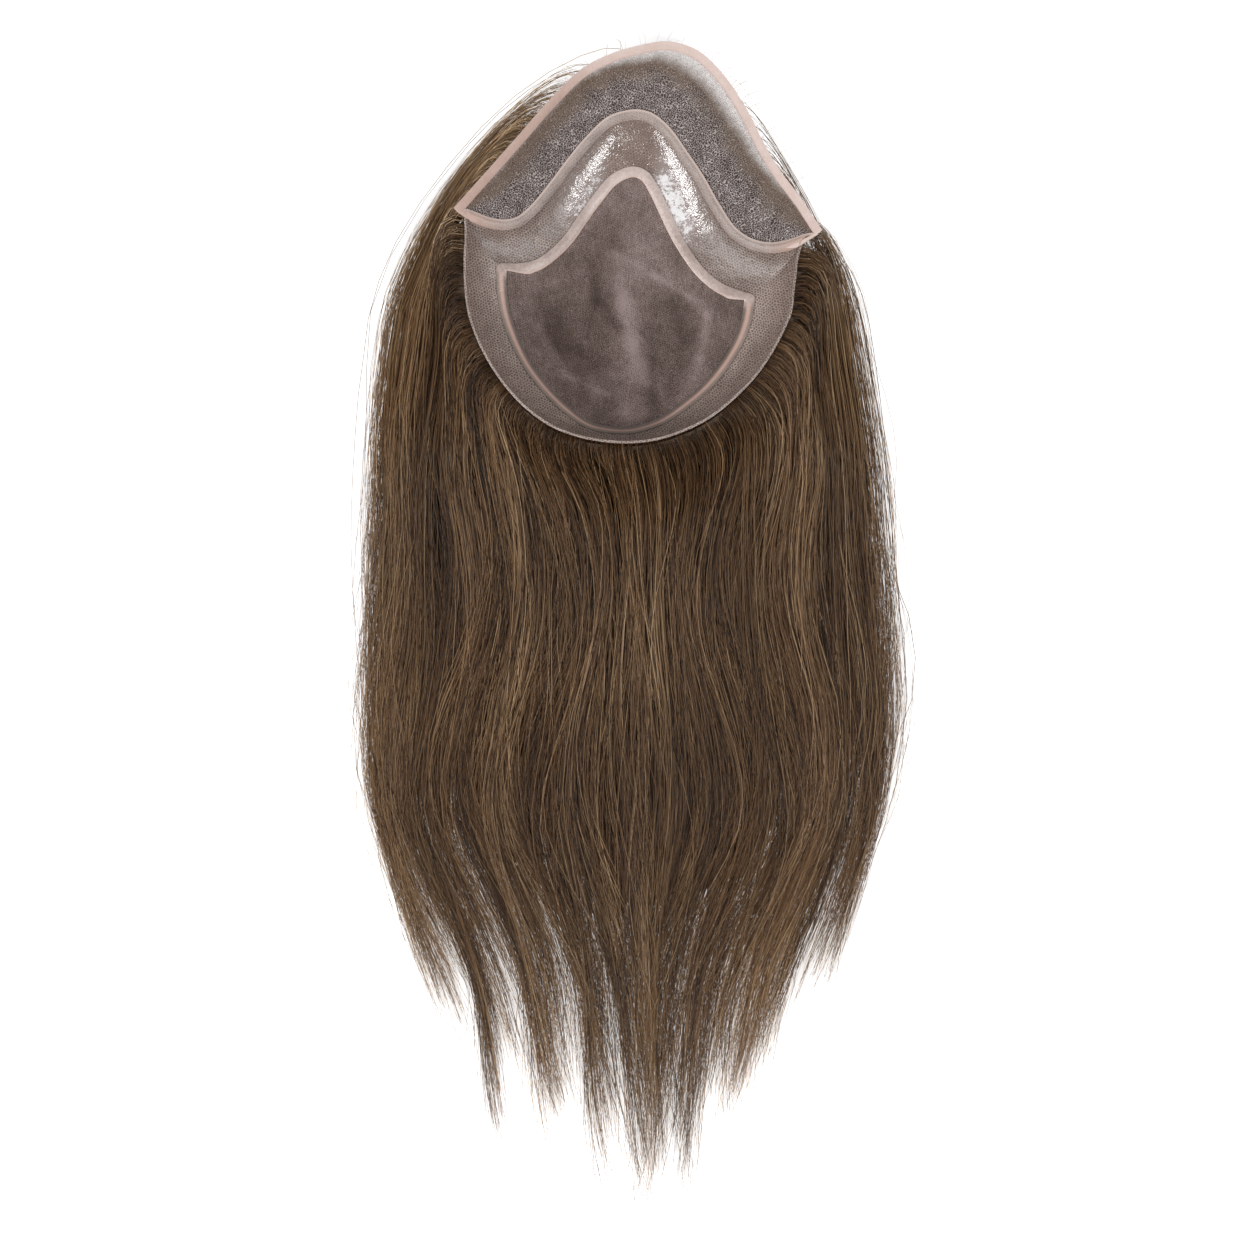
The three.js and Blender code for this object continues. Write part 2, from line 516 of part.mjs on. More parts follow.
let hairSolid = backing.add(mat);
for (const row of locks) hairSolid = hairSolid.add(lock(row));
const room = new THREE.BoxGeometry(hairWidth * 2, hairReach * 4, capHeight * 4);
room.translate(0, 0, capHeight * 2);
hairSolid = filled(hairSolid.subtract(clearance).intersect(toSolid(room)));

const finishes = {
  crown_panel: { color: 0xa98d80, roughness: 0.85, solid: crownPanel },
  crown_binding: { color: 0xc2a49a, roughness: 0.75, solid: crownBinding },
  skin_band: { color: 0xb9a494, roughness: 0.25, solid: skinBand },
  wave_binding: { color: 0x9d8078, roughness: 0.75, solid: waveBinding },
  front_lace: { color: 0x5d4638, roughness: 0.9, solid: frontLace },
  front_edge_tape: { color: 0xb08d82, roughness: 0.75, solid: frontTape },
  hair: { color: 0x5c4635, roughness: 0.6, solid: hairSolid },
};

const group = new THREE.Group();
for (const [name, { color, roughness, solid }] of Object.entries(finishes)) {
  const material = new THREE.MeshStandardMaterial({ color, roughness, metalness: 0 });
  const mesh = new THREE.Mesh(toGeometry(solid), material);
  mesh.name = name;
  group.add(mesh);
}

// The origin is under the middle of the whole, on the floor.
const bounds = new THREE.Box3().setFromObject(group);
const middle = bounds.getCenter(new THREE.Vector3());
group.position.set(-middle.x, -middle.y, 0);

export default group;
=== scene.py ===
import math

import bmesh
import bpy
import numpy as np
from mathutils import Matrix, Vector


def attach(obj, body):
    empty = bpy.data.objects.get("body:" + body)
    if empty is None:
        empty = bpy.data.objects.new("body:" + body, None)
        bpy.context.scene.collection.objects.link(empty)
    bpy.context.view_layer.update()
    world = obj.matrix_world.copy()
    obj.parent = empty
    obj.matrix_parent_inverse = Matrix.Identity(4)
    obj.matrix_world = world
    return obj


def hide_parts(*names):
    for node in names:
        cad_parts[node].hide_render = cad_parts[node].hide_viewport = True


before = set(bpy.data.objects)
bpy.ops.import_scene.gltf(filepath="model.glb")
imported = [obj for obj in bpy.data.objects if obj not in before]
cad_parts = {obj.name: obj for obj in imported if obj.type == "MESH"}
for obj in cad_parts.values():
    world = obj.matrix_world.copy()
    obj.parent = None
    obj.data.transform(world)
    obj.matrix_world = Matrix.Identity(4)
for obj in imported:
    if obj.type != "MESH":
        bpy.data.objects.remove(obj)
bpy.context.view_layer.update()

# The view: the hairpiece lies on a white table and is seen from straight above, with the
# front hairline at the top of the picture. A long lens keeps the raised rim to scale.
CAMERA_HEIGHT = 4.0
PICTURE_WIDTH = 0.627  # metres across the picture at the hair's middle height


def placed(name, data):
    """A new object in the scene."""
    made = bpy.data.objects.new(name, data)
    bpy.context.collection.objects.link(made)
    return made


camera = placed("camera", bpy.data.cameras.new("camera"))
camera.location = (-0.0019, -0.0074, CAMERA_HEIGHT)
camera.data.sensor_width = 36
camera.data.lens = 36 * (CAMERA_HEIGHT - 0.02) / PICTURE_WIDTH
camera.data.clip_end = 50
bpy.context.scene.camera = camera


def soft_box(name, place, size, power):
    """A square studio lamp at place, facing the hairpiece."""
    lamp = placed(name, bpy.data.lights.new(name, "AREA"))
    lamp.location = place
    lamp.rotation_euler = (-Vector(place)).to_track_quat("-Z", "Y").to_euler()
    lamp.data.size = size
    lamp.data.energy = power


soft_box("left_light", (-1.5, -0.68, 1.75), 0.75, 28)
soft_box("right_light", (0.98, -0.55, 2.1), 0.65, 20)
scene = bpy.context.scene
scene.view_settings.view_transform = "Standard"
scene.world = bpy.data.worlds.new("studio")
scene.world.use_nodes = True
scene.world.node_tree.nodes["Background"].inputs["Color"].default_value = (1, 1, 1, 1)
scene.world.node_tree.nodes["Background"].inputs["Strength"].default_value = 0.4


class Value:
    """A value in a material's nodes. Sums and products on it add the Math nodes they need."""

    def __init__(self, tree, link=None):
        self.tree, self.link = tree, link

    def node(self, kind, settings=None, sockets=None, out=0):
        made = self.tree.nodes.new(kind)
        for key, value in (settings or {}).items():
            setattr(made, key, value)
        for key, value in (sockets or {}).items():
            if isinstance(value, Value):
                self.tree.links.new(value.link, made.inputs[key])
            else:
                made.inputs[key].default_value = value
        return Value(self.tree, made.outputs[out])

    def maths(self, operation, *values):
        return self.node("ShaderNodeMath", {"operation": operation}, dict(enumerate(values)))

    def __add__(self, other):
        return self.maths("ADD", self, other)

    def __sub__(self, other):
        return self.maths("SUBTRACT", self, other)

    def __rsub__(self, other):
        return self.maths("SUBTRACT", other, self)

    def __mul__(self, other):
        return self.maths("MULTIPLY", self, other)

    __radd__, __rmul__ = __add__, __mul__

    def step(self, low, high, to_low=0.0, to_high=1.0):
        """Runs smoothly from to_low to to_high as the value goes from low to high."""
        sockets = {0: self, 1: low, 2: high, 3: to_low, 4: to_high}
        settings = {"interpolation_type": "SMOOTHSTEP"}
        return self.node("ShaderNodeMapRange", settings, sockets)

    def blend(self, first, second, way="MIX"):
        """The first colour where the value is 0, the second where it is 1."""
        sockets = {0: self, 6: first, 7: second}
        return self.node("ShaderNodeMix", {"data_type": "RGBA", "blend_type": way}, sockets, 2)

    def ramp(self, *stops):
        """The value's colour on a ramp, whose stops are pairs of a place and a hex code."""
        made = self.node("ShaderNodeValToRGB", None, {"Fac": self})
        elements = made.link.node.color_ramp.elements
        while len(elements) < len(stops):
            elements.new(0.5)
        for element, (place, code) in zip(elements, stops):
            element.position, element.color = place, rgb(code)
        return made

    def spot(self):
        """The place on the object, in metres."""
        return self.node("ShaderNodeTexCoord", out=3)

    def uv(self, axis):
        """The share along or round a panel (axis 0), or across it and outwards (axis 1)."""
        panel_map = self.node("ShaderNodeTexCoord", out=2)
        return self.node("ShaderNodeSeparateXYZ", None, {0: panel_map}, axis)

    def noise(self, place, scale, detail, rough, stretch=None):
        """Soft noise over a place, drawn out along an axis where its stretch is small."""
        if stretch:
            settings = {"operation": "MULTIPLY"}
            place = self.node("ShaderNodeVectorMath", settings, {0: place, 1: stretch})
        sockets = {"Vector": place, "Scale": scale, "Detail": detail, "Roughness": rough}
        return self.node("ShaderNodeTexNoise", None, sockets)

    def bumps(self, distance=0.0006, strength=0.5):
        """The surface's direction once the value raises it by up to distance metres."""
        sockets = {"Strength": strength, "Distance": distance, "Height": self}
        return self.node("ShaderNodeBump", None, sockets)


def rgb(code):
    """A colour from its hex code, as the renderer's linear values."""
    shares = [int(code[i:i + 2], 16) / 255 for i in (0, 2, 4)]
    linear = [c / 12.92 if c <= 0.04045 else ((c + 0.055) / 1.055) ** 2.4 for c in shares]
    return (*linear, 1.0)


def coloured(name, **fixed):
    """A new material: its surface shader with the fixed values set, and a value to build from."""
    material = bpy.data.materials.new(name)
    material.use_nodes = True
    surface = material.node_tree.nodes["Principled BSDF"]
    for key, value in fixed.items():
        surface.inputs[key.replace("_", " ")].default_value = value
    return material, surface, Value(material.node_tree)


def feed(surface, socket, value):
    surface.id_data.links.new(value.link, surface.inputs[socket])


# The table: a plain white surface that the hairpiece lies on, well past the picture on
# every side. It is stage, not part of the piece.
table_mesh = bmesh.new()
bmesh.ops.create_grid(table_mesh, x_segments=1, y_segments=1, size=3)
table_data = bpy.data.meshes.new("table")
table_mesh.to_mesh(table_data)
table = placed("table", table_data)
white, white_surface, _ = coloured("white_table", Roughness=0.9)
white_surface.inputs["Base Color"].default_value = rgb("fafafa")
white_surface.inputs["Emission Color"].default_value = (1, 1, 1, 1)
white_surface.inputs["Emission Strength"].default_value = 0.62
table_data.materials.append(white)


# The cap's form: the seams, the hairline and the cut rim are smooth lines round a shallow bowl,
# and every net, ribbon and skin panel lies between two of them. Sizes are in millimetres.
CAP_WIDTH, CAP_FRONT, CAP_BACK, CAP_HEIGHT = 166, 130, 72, 46
CAP_TURN = math.radians(-3.5)
CROWN_FLOOR = 12
CROWN_CENTRE = np.array([0.105, 156.11, 0])
NET_WALL, RIBBON_WALL, RIBBON_WIDTH, TAPE_WIDTH = 1.2, 0.9, 5, 4.5
TUCK = 0.8  # how far a net's edge runs in under the ribbon sewn over it

# Each row is a point: its share of half the width, of the length and of the height.
FRONT_LINE = [
    (-1.101, 0.301, 0.65), (-0.876, 0.485, 0.57), (-0.726, 0.609, 0.53), (-0.576, 0.734, 0.5),
    (-0.379, 0.871, 0.5), (-0.207, 0.935, 0.52), (-0.033, 0.974, 0.54), (0.126, 0.994, 0.55),
    (0.3, 0.97, 0.52), (0.408, 0.922, 0.5), (0.511, 0.854, 0.49), (0.635, 0.745, 0.49),
    (0.743, 0.626, 0.51), (0.85, 0.526, 0.54), (0.99, 0.419, 0.59), (1.126, 0.302, 0.65),
]
WAVE_LINE = [
    (-1.031, 0.289, 0.63), (-0.96, 0.272, 0.57), (-0.863, 0.256, 0.5), (-0.779, 0.255, 0.45),
    (-0.702, 0.271, 0.41), (-0.616, 0.323, 0.37), (-0.516, 0.411, 0.33), (-0.417, 0.508, 0.3),
    (-0.317, 0.596, 0.28), (-0.198, 0.678, 0.27), (-0.104, 0.705, 0.27), (-0.026, 0.713, 0.27),
    (0.05, 0.703, 0.26), (0.155, 0.653, 0.25), (0.266, 0.565, 0.26), (0.371, 0.477, 0.28),
    (0.471, 0.377, 0.32), (0.582, 0.285, 0.36), (0.683, 0.244, 0.4), (0.799, 0.228, 0.47),
    (0.907, 0.238, 0.54), (1.012, 0.266, 0.61),
]
CROWN_FRONT_LINE = [
    (-0.793, 0.087, 0.33), (-0.667, 0.095, 0.26), (-0.566, 0.117, 0.22), (-0.474, 0.165, 0.19),
    (-0.398, 0.222, 0.17), (-0.324, 0.299, 0.16), (-0.242, 0.381, 0.15), (-0.154, 0.454, 0.15),
    (-0.077, 0.486, 0.15), (-0.02, 0.493, 0.15), (0.034, 0.479, 0.15), (0.091, 0.435, 0.14),
    (0.163, 0.355, 0.13), (0.236, 0.27, 0.12), (0.325, 0.186, 0.13), (0.42, 0.117, 0.15),
    (0.522, 0.07, 0.18), (0.623, 0.044, 0.24), (0.716, 0.028, 0.3),
]
CROWN_BACK_LINE = [
    (0.716, 0.028, 0.3), (0.703, -0.104, 0.3), (0.664, -0.255, 0.31), (0.591, -0.419, 0.34),
    (0.487, -0.585, 0.37), (0.364, -0.724, 0.41), (0.226, -0.845, 0.45), (0.06, -0.92, 0.49),
    (-0.061, -0.931, 0.49), (-0.208, -0.905, 0.48), (-0.342, -0.811, 0.44), (-0.487, -0.663, 0.39),
    (-0.609, -0.495, 0.35), (-0.7, -0.305, 0.33), (-0.758, -0.132, 0.32), (-0.784, 0.014, 0.32),
    (-0.793, 0.087, 0.33),
]
RIM_LINE = [
    (1.012, 0.266, 0.61), (0.985, 0.2, 0.62), (0.972, 0.1, 0.64), (0.96, -0.03, 0.67),
    (0.939, -0.106, 0.69), (0.868, -0.296, 0.74), (0.78, -0.47, 0.8), (0.66, -0.637, 0.87),
    (0.506, -0.797, 0.93), (0.35, -0.901, 0.97), (0.192, -0.969, 0.99), (0.032, -0.999, 1),
    (-0.097, -1, 1), (-0.244, -0.981, 0.99), (-0.408, -0.927, 0.96), (-0.559, -0.826, 0.91),
    (-0.696, -0.686, 0.86), (-0.819, -0.509, 0.79), (-0.909, -0.329, 0.73), (-0.966, -0.165, 0.68),
    (-0.998, 0.02, 0.65), (-1.01, 0.12, 0.63), (-1.014, 0.2, 0.62), (-1.031, 0.289, 0.63),
]
# Folds of the crown net: from, to (shares of half the width), spread and rise.
CROWN_FOLDS = [
    (0.02, 0.36, 0.05, -0.66, 9, 4), (-0.16, 0.34, -0.2, -0.32, 8, -3),
    (0.12, 0.3, 0.46, -0.02, 7, 2.6), (0.46, -0.06, 0.42, -0.42, 7, 2.2),
    (-0.5, -0.1, -0.26, -0.5, 9, -2), (0.22, -0.2, 0.24, -0.5, 8, -2.4),
]
# Finer creases of the net, in the same columns.
NET_CREASES = [
    (-0.105, 0.26, -0.053, 0, 4, 0.8), (-0.053, 0, 0.022, -0.24, 4.5, 1),
    (0.022, -0.24, 0.085, -0.48, 5, 0.7), (-0.233, 0.18, -0.197, -0.01, 3, -0.8),
    (-0.197, -0.01, -0.08, -0.15, 3, -0.7), (-0.107, 0.28, 0.143, 0.154, 2, 0.7),
    (0.143, 0.154, 0.342, 0.045, 2, 0.9), (0.342, 0.045, 0.47, -0.068, 2.2, 0.8),
    (0.47, -0.068, 0.438, -0.335, 2.4, 0.6), (0.438, -0.335, 0.333, -0.583, 2.5, 0.6),
    (-0.44, -0.1, -0.42, -0.25, 11, -0.9), (0.25, -0.02, 0.33, -0.2, 7, -0.9),
    (-0.4, -0.46, -0.1, -0.585, 1.8, 0.6), (-0.55, -0.2, -0.3, -0.55, 2, 0.5),
    (-0.3, -0.3, -0.12, -0.5, 3, -0.5), (0.15, -0.35, 0.18, -0.62, 2.4, -0.6),
    (0.2, -0.5, 0.3, -0.68, 2, 0.5),
]


def smooth_line(rows):
    """A smooth line through a table's points, as 801 points evenly spaced along it."""
    share_x, share_y, share_z = np.array(rows).T
    x, y = share_x * CAP_WIDTH / 2, share_y * np.where(share_y > 0, CAP_FRONT, CAP_BACK)
    turned_x = x * math.cos(CAP_TURN) - y * math.sin(CAP_TURN)
    turned_y = x * math.sin(CAP_TURN) + y * math.cos(CAP_TURN)
    points = np.stack([turned_x, turned_y, CROWN_FLOOR + share_z * CAP_HEIGHT], 1)
    points = np.vstack([2 * points[0] - points[1], points, 2 * points[-1] - points[-2]])
    share = np.linspace(0, 1, 60)[:, None]
    runs = []
    for before, start, end, after in zip(points, points[1:], points[2:], points[3:]):
        spans = (start - before, end - start, after - end)
        a, b, c = (np.linalg.norm(span) ** 0.5 for span in spans)
        leave = ((start - before) / a - (end - before) / (a + b) + (end - start) / b) * b
        arrive = ((end - start) / b - (after - start) / (b + c) + (after - end) / c) * b
        runs.append(start + leave * share + (3 * (end - start) - 2 * leave - arrive) * share**2
                    + (2 * (start - end) + leave + arrive) * share**3)
    line = np.vstack(runs)
    length = np.concatenate([[0], np.cumsum(np.linalg.norm(np.diff(line, axis=0), axis=1))])
    even = np.linspace(0, length[-1], 801)
    return np.stack([np.interp(even, length, line[:, k]) for k in range(3)], 1)


front_line, wave_line = smooth_line(FRONT_LINE), smooth_line(WAVE_LINE)
rim_line = smooth_line(RIM_LINE)
crown_front, crown_back = smooth_line(CROWN_FRONT_LINE), smooth_line(CROWN_BACK_LINE)


def on_line(line, share):
    place = np.clip(share, 0, 1) * 800
    low = np.minimum(place.astype(int), 799)
    return line[low] + (line[low + 1] - line[low]) * (place - low)[..., None]


def crown_fold(x, y, folds=CROWN_FOLDS):
    """The net's rise over its sag at a point, from a table of folds or creases."""
    back_x = x * math.cos(CAP_TURN) + y * math.sin(CAP_TURN)
    back_y = -x * math.sin(CAP_TURN) + y * math.cos(CAP_TURN)
    place = np.stack([back_x, back_y], -1)
    rise = 0
    for x0, y0, x1, y1, spread, height in folds:
        start, run = np.array([x0, y0]) * CAP_WIDTH / 2, np.array([x1 - x0, y1 - y0]) * CAP_WIDTH / 2
        along = np.clip((place - start) @ run / (run @ run), 0, 1)
        off = np.linalg.norm(place - start - along[..., None] * run, axis=-1)
        rise = rise + height * np.exp(-((off / spread) ** 2))
    return rise


def cap_point(s, t):
    """The cap's middle surface: s once round from the left wing, t from the crown outwards.
    t is 1 on the crown seam, 2 on the wave seam and the rim, 3 on the hairline."""
    s, t = np.broadcast_arrays(np.asarray(s, float), np.asarray(t, float))
    s = np.where(t > 2, np.clip(s, 0, 0.5), s % 1.0)
    ahead = (s <= 0.5)[..., None]
    share = np.where(s <= 0.5, s * 2, s * 2 - 1)
    seam = np.where(ahead, on_line(crown_front, share), on_line(crown_back, share))
    edge = np.where(ahead, on_line(wave_line, share), on_line(rim_line, share))
    x, y = seam[..., 0] * t, seam[..., 1] * t
    sag = 80 * (x / CAP_WIDTH) ** 2 + np.where(y < 0, 20, 6) * (y / CAP_BACK) ** 2
    crown_z = (CROWN_FLOOR + sag + crown_fold(x, y)) * (1 - t**4) + seam[..., 2] * t**4
    inner = np.stack([x, y, crown_z], -1)
    first = np.where((t <= 2)[..., None], seam, edge)
    last = np.where((t <= 2)[..., None], edge, on_line(front_line, share))
    along = np.where(t <= 2, t - 1, t - 2)
    outer = first + (last - first) * along[..., None]
    belly = np.where(t <= 2, 0.07, 0.035) * np.linalg.norm(last - first, axis=-1)
    belly = belly * 4 * along * (1 - along)
    out = outer * (1, 1, 0)
    out = out / np.maximum(np.linalg.norm(out, axis=-1), 1e-6)[..., None]
    outer = outer + belly[..., None] * (out - (0, 0, 1))
    return np.where((t <= 1)[..., None], inner, outer)


def cap_slopes(s, t, side):
    """How the surface runs round and outwards, on the inner (-1) or outer (1) side of a seam."""
    before = np.maximum(t - np.where(side > 0, 0, 0.02), 0)
    after = t + np.where(side < 0, 0, 0.02)
    level = t + 0.001 * np.asarray(side)
    ahead = (t > 2) | ((side > 0) & (t >= 1.999))
    s0 = np.where(ahead, np.clip(s - 0.004, 0, 0.5), s - 0.004)
    s1 = np.where(ahead, np.clip(s + 0.004, 0, 0.5), s + 0.004)
    round_run = (cap_point(s1, level) - cap_point(s0, level)) / (s1 - s0)[..., None]
    out_run = (cap_point(s, after) - cap_point(s, before)) / (after - before)[..., None]
    return round_run, out_run


def cap_normal(s, t, side=0):
    """The direction into the bowl, square to the surface."""
    s, t = np.broadcast_arrays(np.asarray(s, float), np.asarray(t, float))
    round_run, out_run = cap_slopes(s, np.maximum(t, 0.03), side)
    normal = np.cross(out_run, round_run)
    normal = normal / np.linalg.norm(normal, axis=-1)[..., None]
    inward = (0, 0, 120) - cap_point(s, t)
    return normal * np.where((normal * inward).sum(-1) < 0, -1, 1)[..., None]


def seam_step(s, t, width, side):
    """How far t moves for a width measured square to a seam."""
    round_run, out_run = cap_slopes(s, np.full_like(s, t), side)
    area = np.linalg.norm(np.cross(round_run, out_run), axis=-1)
    return width * np.linalg.norm(round_run, axis=-1) / area


def crown_edge(s, inset):
    return 1 - np.clip(seam_step(s, 1.0, inset, -1), 0.01, 0.3)


def skin_edge(s, inset):
    return 1 + np.clip(seam_step(s, 1.0, inset, 1), 0.02, 0.6)


def tape_edge(s, inset):
    return 3 - np.clip(seam_step(s, 3.0, inset, -1), 0.02, 0.85)


def wave_back(s, inset):
    return 2 - np.clip(seam_step(s, 2.0, inset, -1), 0.02, 0.6)


def wave_front(s, inset):
    return np.minimum(2 + seam_step(s, 2.0, inset, 1), tape_edge(s, TAPE_WIDTH + 0.2))


def flat_grid(x_steps, y_steps, mapped=False):
    """A flat grid, and each point's shares along and across it, which its map keeps if mapped."""
    made = bmesh.new()
    if mapped:
        made.loops.layers.uv.new("along_and_across")
    bmesh.ops.create_grid(made, x_segments=x_steps, y_segments=y_steps, size=0.5, calc_uvs=mapped)
    along, across = np.array([v.co[:2] for v in made.verts]).T + 0.5
    return made, along, across


def bend_grid(made, places):
    """Moves a grid's points to places given in millimetres from the crown's centre."""
    for vertex, spot in zip(made.verts, (places + CROWN_CENTRE) * 0.001):
        vertex.co = spot


def panel(name, material, steps, place, wall, node, round_cap=False):
    """A panel of the cap: a flat grid bent onto the surface by place, with its wall given to it."""
    made, along, across = flat_grid(*steps, mapped=True)
    bend_grid(made, place(along, across))
    if round_cap:
        bmesh.ops.remove_doubles(made, verts=made.verts, dist=1e-6)
    bmesh.ops.recalc_face_normals(made, faces=made.faces)
    if sum(face.normal.z for face in made.faces) < 0:
        bmesh.ops.reverse_faces(made, faces=made.faces)
    for face in made.faces:
        face.smooth = True
    for edge in made.edges:
        edge.smooth = not edge.is_boundary  # a crisp cut edge, with no shading drawn in from its wall
    data = bpy.data.meshes.new(name)
    made.to_mesh(data)
    piece = placed(name, data)
    data.materials.append(material)
    thick = piece.modifiers.new("wall", "SOLIDIFY")
    thick.thickness, thick.offset = wall * 0.001, 0
    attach(piece, "root")
    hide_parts(node)
    return piece


def on_cap(s, t, lift, side=0):
    return cap_point(s, t) + cap_normal(s, t, side) * np.asarray(lift)[..., None]


# The crown panel: fine net, dark with the hair tied under it, and partly greyer where a fold lifts it
# off the hair. The ridges of its folds and creases are painted lighter and their hollows darker, as
# painted light and shade. It is cut to the crown and sewn in under the crown ribbon.
def woven(value, hole, wander):
    """A honeycomb net seen from above: 1 on its threads, 0 in the holes, which lie hole metres
    apart and stray within wander metres."""
    spot = value.spot()
    stray = value.node("ShaderNodeTexNoise", None, {"Vector": spot, "Scale": 240.0, "Detail": 3.0}, 1)
    strayed = value.node("ShaderNodeVectorMath", {"operation": "MULTIPLY_ADD"}, {
        0: stray, 1: (wander, wander, 0), 2: spot})
    total = 0
    waves = 7.255 / hole  # radians a metre, as the rows of holes lie 0.866 of hole apart
    for degrees in (10, 70, 130):
        angle = math.radians(degrees)
        turn = (math.cos(angle) * waves, math.sin(angle) * waves, 0)
        run = value.node("ShaderNodeVectorMath", {"operation": "DOT_PRODUCT"}, {0: strayed, 1: turn}, 1)
        total = total + run.maths("COSINE", run)
    return total.step(-1.5, 1.0, 1, 0)


crown_net, crown_surface, net = coloured("crown_net", Roughness=0.7, Specular_IOR_Level=0.35)
spot = net.spot()
# The fold attribute: painted light and shade of the folds and creases, mixed with the net's own tone.
fold_light_and_shade = net.node("ShaderNodeAttribute", {"attribute_name": "fold"}, out=2)
cloudy = net.noise(spot, 75, 4, 0.65)
fine = net.noise(spot, 900, 3, 0.7)
threads = net.noise(spot, 1400, 2, 0.6, (1, 0.12, 1))
mesh = woven(net, 0.0012, 0.003)
lift = fold_light_and_shade + (cloudy - 0.5) * 0.9 + (fine - 0.5) * 0.9
lift = lift + (threads - 0.5) * 0.5 + (mesh - 0.5) * 0.36
tone = lift.ramp((0.0, "3f312c"), (0.35, "594a43"), (0.62, "74635e"), (1.0, "978683"))
feed(crown_surface, "Base Color", tone)
feed(crown_surface, "Normal", (fine + threads + cloudy).bumps())


def crown_place(round_share, out_share):
    t = out_share * crown_edge(round_share, RIBBON_WIDTH / 2 - TUCK)
    flat_place = cap_point(round_share, t)
    crease = crown_fold(flat_place[:, 0], flat_place[:, 1], NET_CREASES) * (1 - out_share**6)
    return on_cap(round_share, t, crease * 0.8)


crown_panel = panel("crown_net_panel", crown_net, (160, 44), crown_place, NET_WALL,
                    "crown_panel", True)


def mark(piece, name, value):
    """Keeps a value from 0 to 1 at each point of a piece, for its material to read."""
    kept = piece.data.attributes.new(name, "FLOAT", "POINT")
    kept.data.foreach_set("value", np.clip(value, 0, 1).astype(np.float32))


spots = np.array([v.co[:] for v in crown_panel.data.vertices]) * 1000 - CROWN_CENTRE
creases = crown_fold(spots[:, 0], spots[:, 1], NET_CREASES)
# Painted light and shade: lighter on the fold and crease ridges, darker in their hollows; also lighter
# towards the front and the left.
mark(crown_panel, "fold", 0.49 + crown_fold(spots[:, 0], spots[:, 1]) / 27 + creases / 3.6
     + 0.2 * np.clip((spots[:, 1] - 15) / 45, 0, 1) + 0.09 * np.clip((-8 - spots[:, 0]) / 35, 0, 1))


# The skin band: clear glossy skin cast over net, from the crown ribbon out to the wave seam
# in front and the cut edge of the rim at the sides and back. On the arch in front its colour carries
# painted highlights: lighter patches broken by white strokes, and small white specks.
clear_skin, skin_surface, skin = coloured("clear_skin", Specular_IOR_Level=0.9)
spot = skin.spot()
cloudy = skin.noise(spot, 90, 4, 0.6)
pebbled = skin.noise(spot, 420, 3, 0.65)
net_line = woven(skin, 0.00145, 0.0026)
wrinkled = skin.noise(spot, 200, 3, 0.6)
round_share = skin.uv(0)
arch = round_share.step(0.08, 0.17) * round_share.step(0.36, 0.42, 1, 0)
ahead = round_share.step(0.48, 0.52, 1, 0)
out_share = skin.uv(1)
# Painted highlight: a lighter area on each side of the arch, fuller on the right and towards the crown
# ribbon.
painted_highlight_patch = round_share.step(0.09, 0.15) * round_share.step(0.18, 0.22, 1, 0) * 0.62
painted_highlight_patch = painted_highlight_patch + round_share.step(0.265, 0.3) * round_share.step(0.35, 0.41, 1, 0)
painted_highlight_patch = painted_highlight_patch * out_share.step(0.2, 0.95, 1, 0.35)
# Painted highlight: white strokes inside those lighter areas.
painted_glints = (skin.noise(spot, 520, 4, 0.8) + (wrinkled - 0.5) * 0.7 + painted_highlight_patch * 0.26).step(0.64, 0.8) * painted_highlight_patch
# Painted highlight: small white specks over the arch.
painted_sparkle = (skin.noise(spot, 1100, 2, 0.6) + arch * 0.12).step(0.78, 0.82) * arch
# The arch is painted lighter and its net fainter, as painted light; the skin is darker in front.
pale = cloudy * 0.4 + pebbled * 0.16 + net_line * 0.5 * (1 - arch * 0.5)
pale = pale + arch * 0.2 - ahead * 0.16 - 0.03
tone = pale.ramp((0.1, "56453e"), (0.5, "86736a"), (0.9, "c5b4aa"))
# The painted highlights lighten the tone, and their white strokes and specks whiten it.
tone = (painted_highlight_patch * 0.5).blend(tone, rgb("bfb4b2"))
painted_shine = skin.maths("MINIMUM", painted_glints + painted_sparkle, 1.0)
feed(skin_surface, "Base Color", painted_shine.blend(tone, rgb("f6f3f4")))
feed(skin_surface, "Roughness", (arch + (cloudy - 0.5) * 0.8).step(0.2, 0.8, 0.42, 0.14))
feed(skin_surface, "Normal", (wrinkled * 1.2 + pebbled * 0.4 + net_line * 0.05).bumps(0.0009))


def skin_place(round_share, out_share):
    s = np.where(round_share >= 1, 0.0, round_share)
    wing = np.minimum(np.minimum(s, np.abs(s - 0.5)), 1 - s)
    inset = RIBBON_WIDTH / 2 - TUCK
    left_end, right_end = wave_back(0 * s, inset), wave_back(0 * s + 0.5, inset)
    ends = np.where(s > 0.75, left_end, right_end)
    eased = ends + (2 - ends) * np.clip(wing / 0.03, 0, 1)
    outer = np.where(s > 0.5, eased, wave_back(s, inset))
    t = skin_edge(s, inset) * (1 - out_share) + outer * out_share
    return on_cap(s, t, 0 * t)


skin_band = panel("clear_skin_band", clear_skin, (288, 14), skin_place, NET_WALL,
                  "skin_band", True)


# The crown ribbon: a soft woven strip sewn over the seam between crown net and skin, all the
# way round. Behind the crown the net's own colour shows through it.
crown_ribbon, ribbon_surface, ribbon = coloured("crown_ribbon", Roughness=0.3, Specular_IOR_Level=0.6)
spot = ribbon.spot()
across = ribbon.uv(1)
weave = ribbon.noise(spot, 700, 3, 0.7)
cloudy = ribbon.noise(spot, 120, 3, 0.6)
round_share = ribbon.uv(0)
behind = round_share.step(0.5, 0.515) * round_share.step(0.985, 1.0, 1, 0)
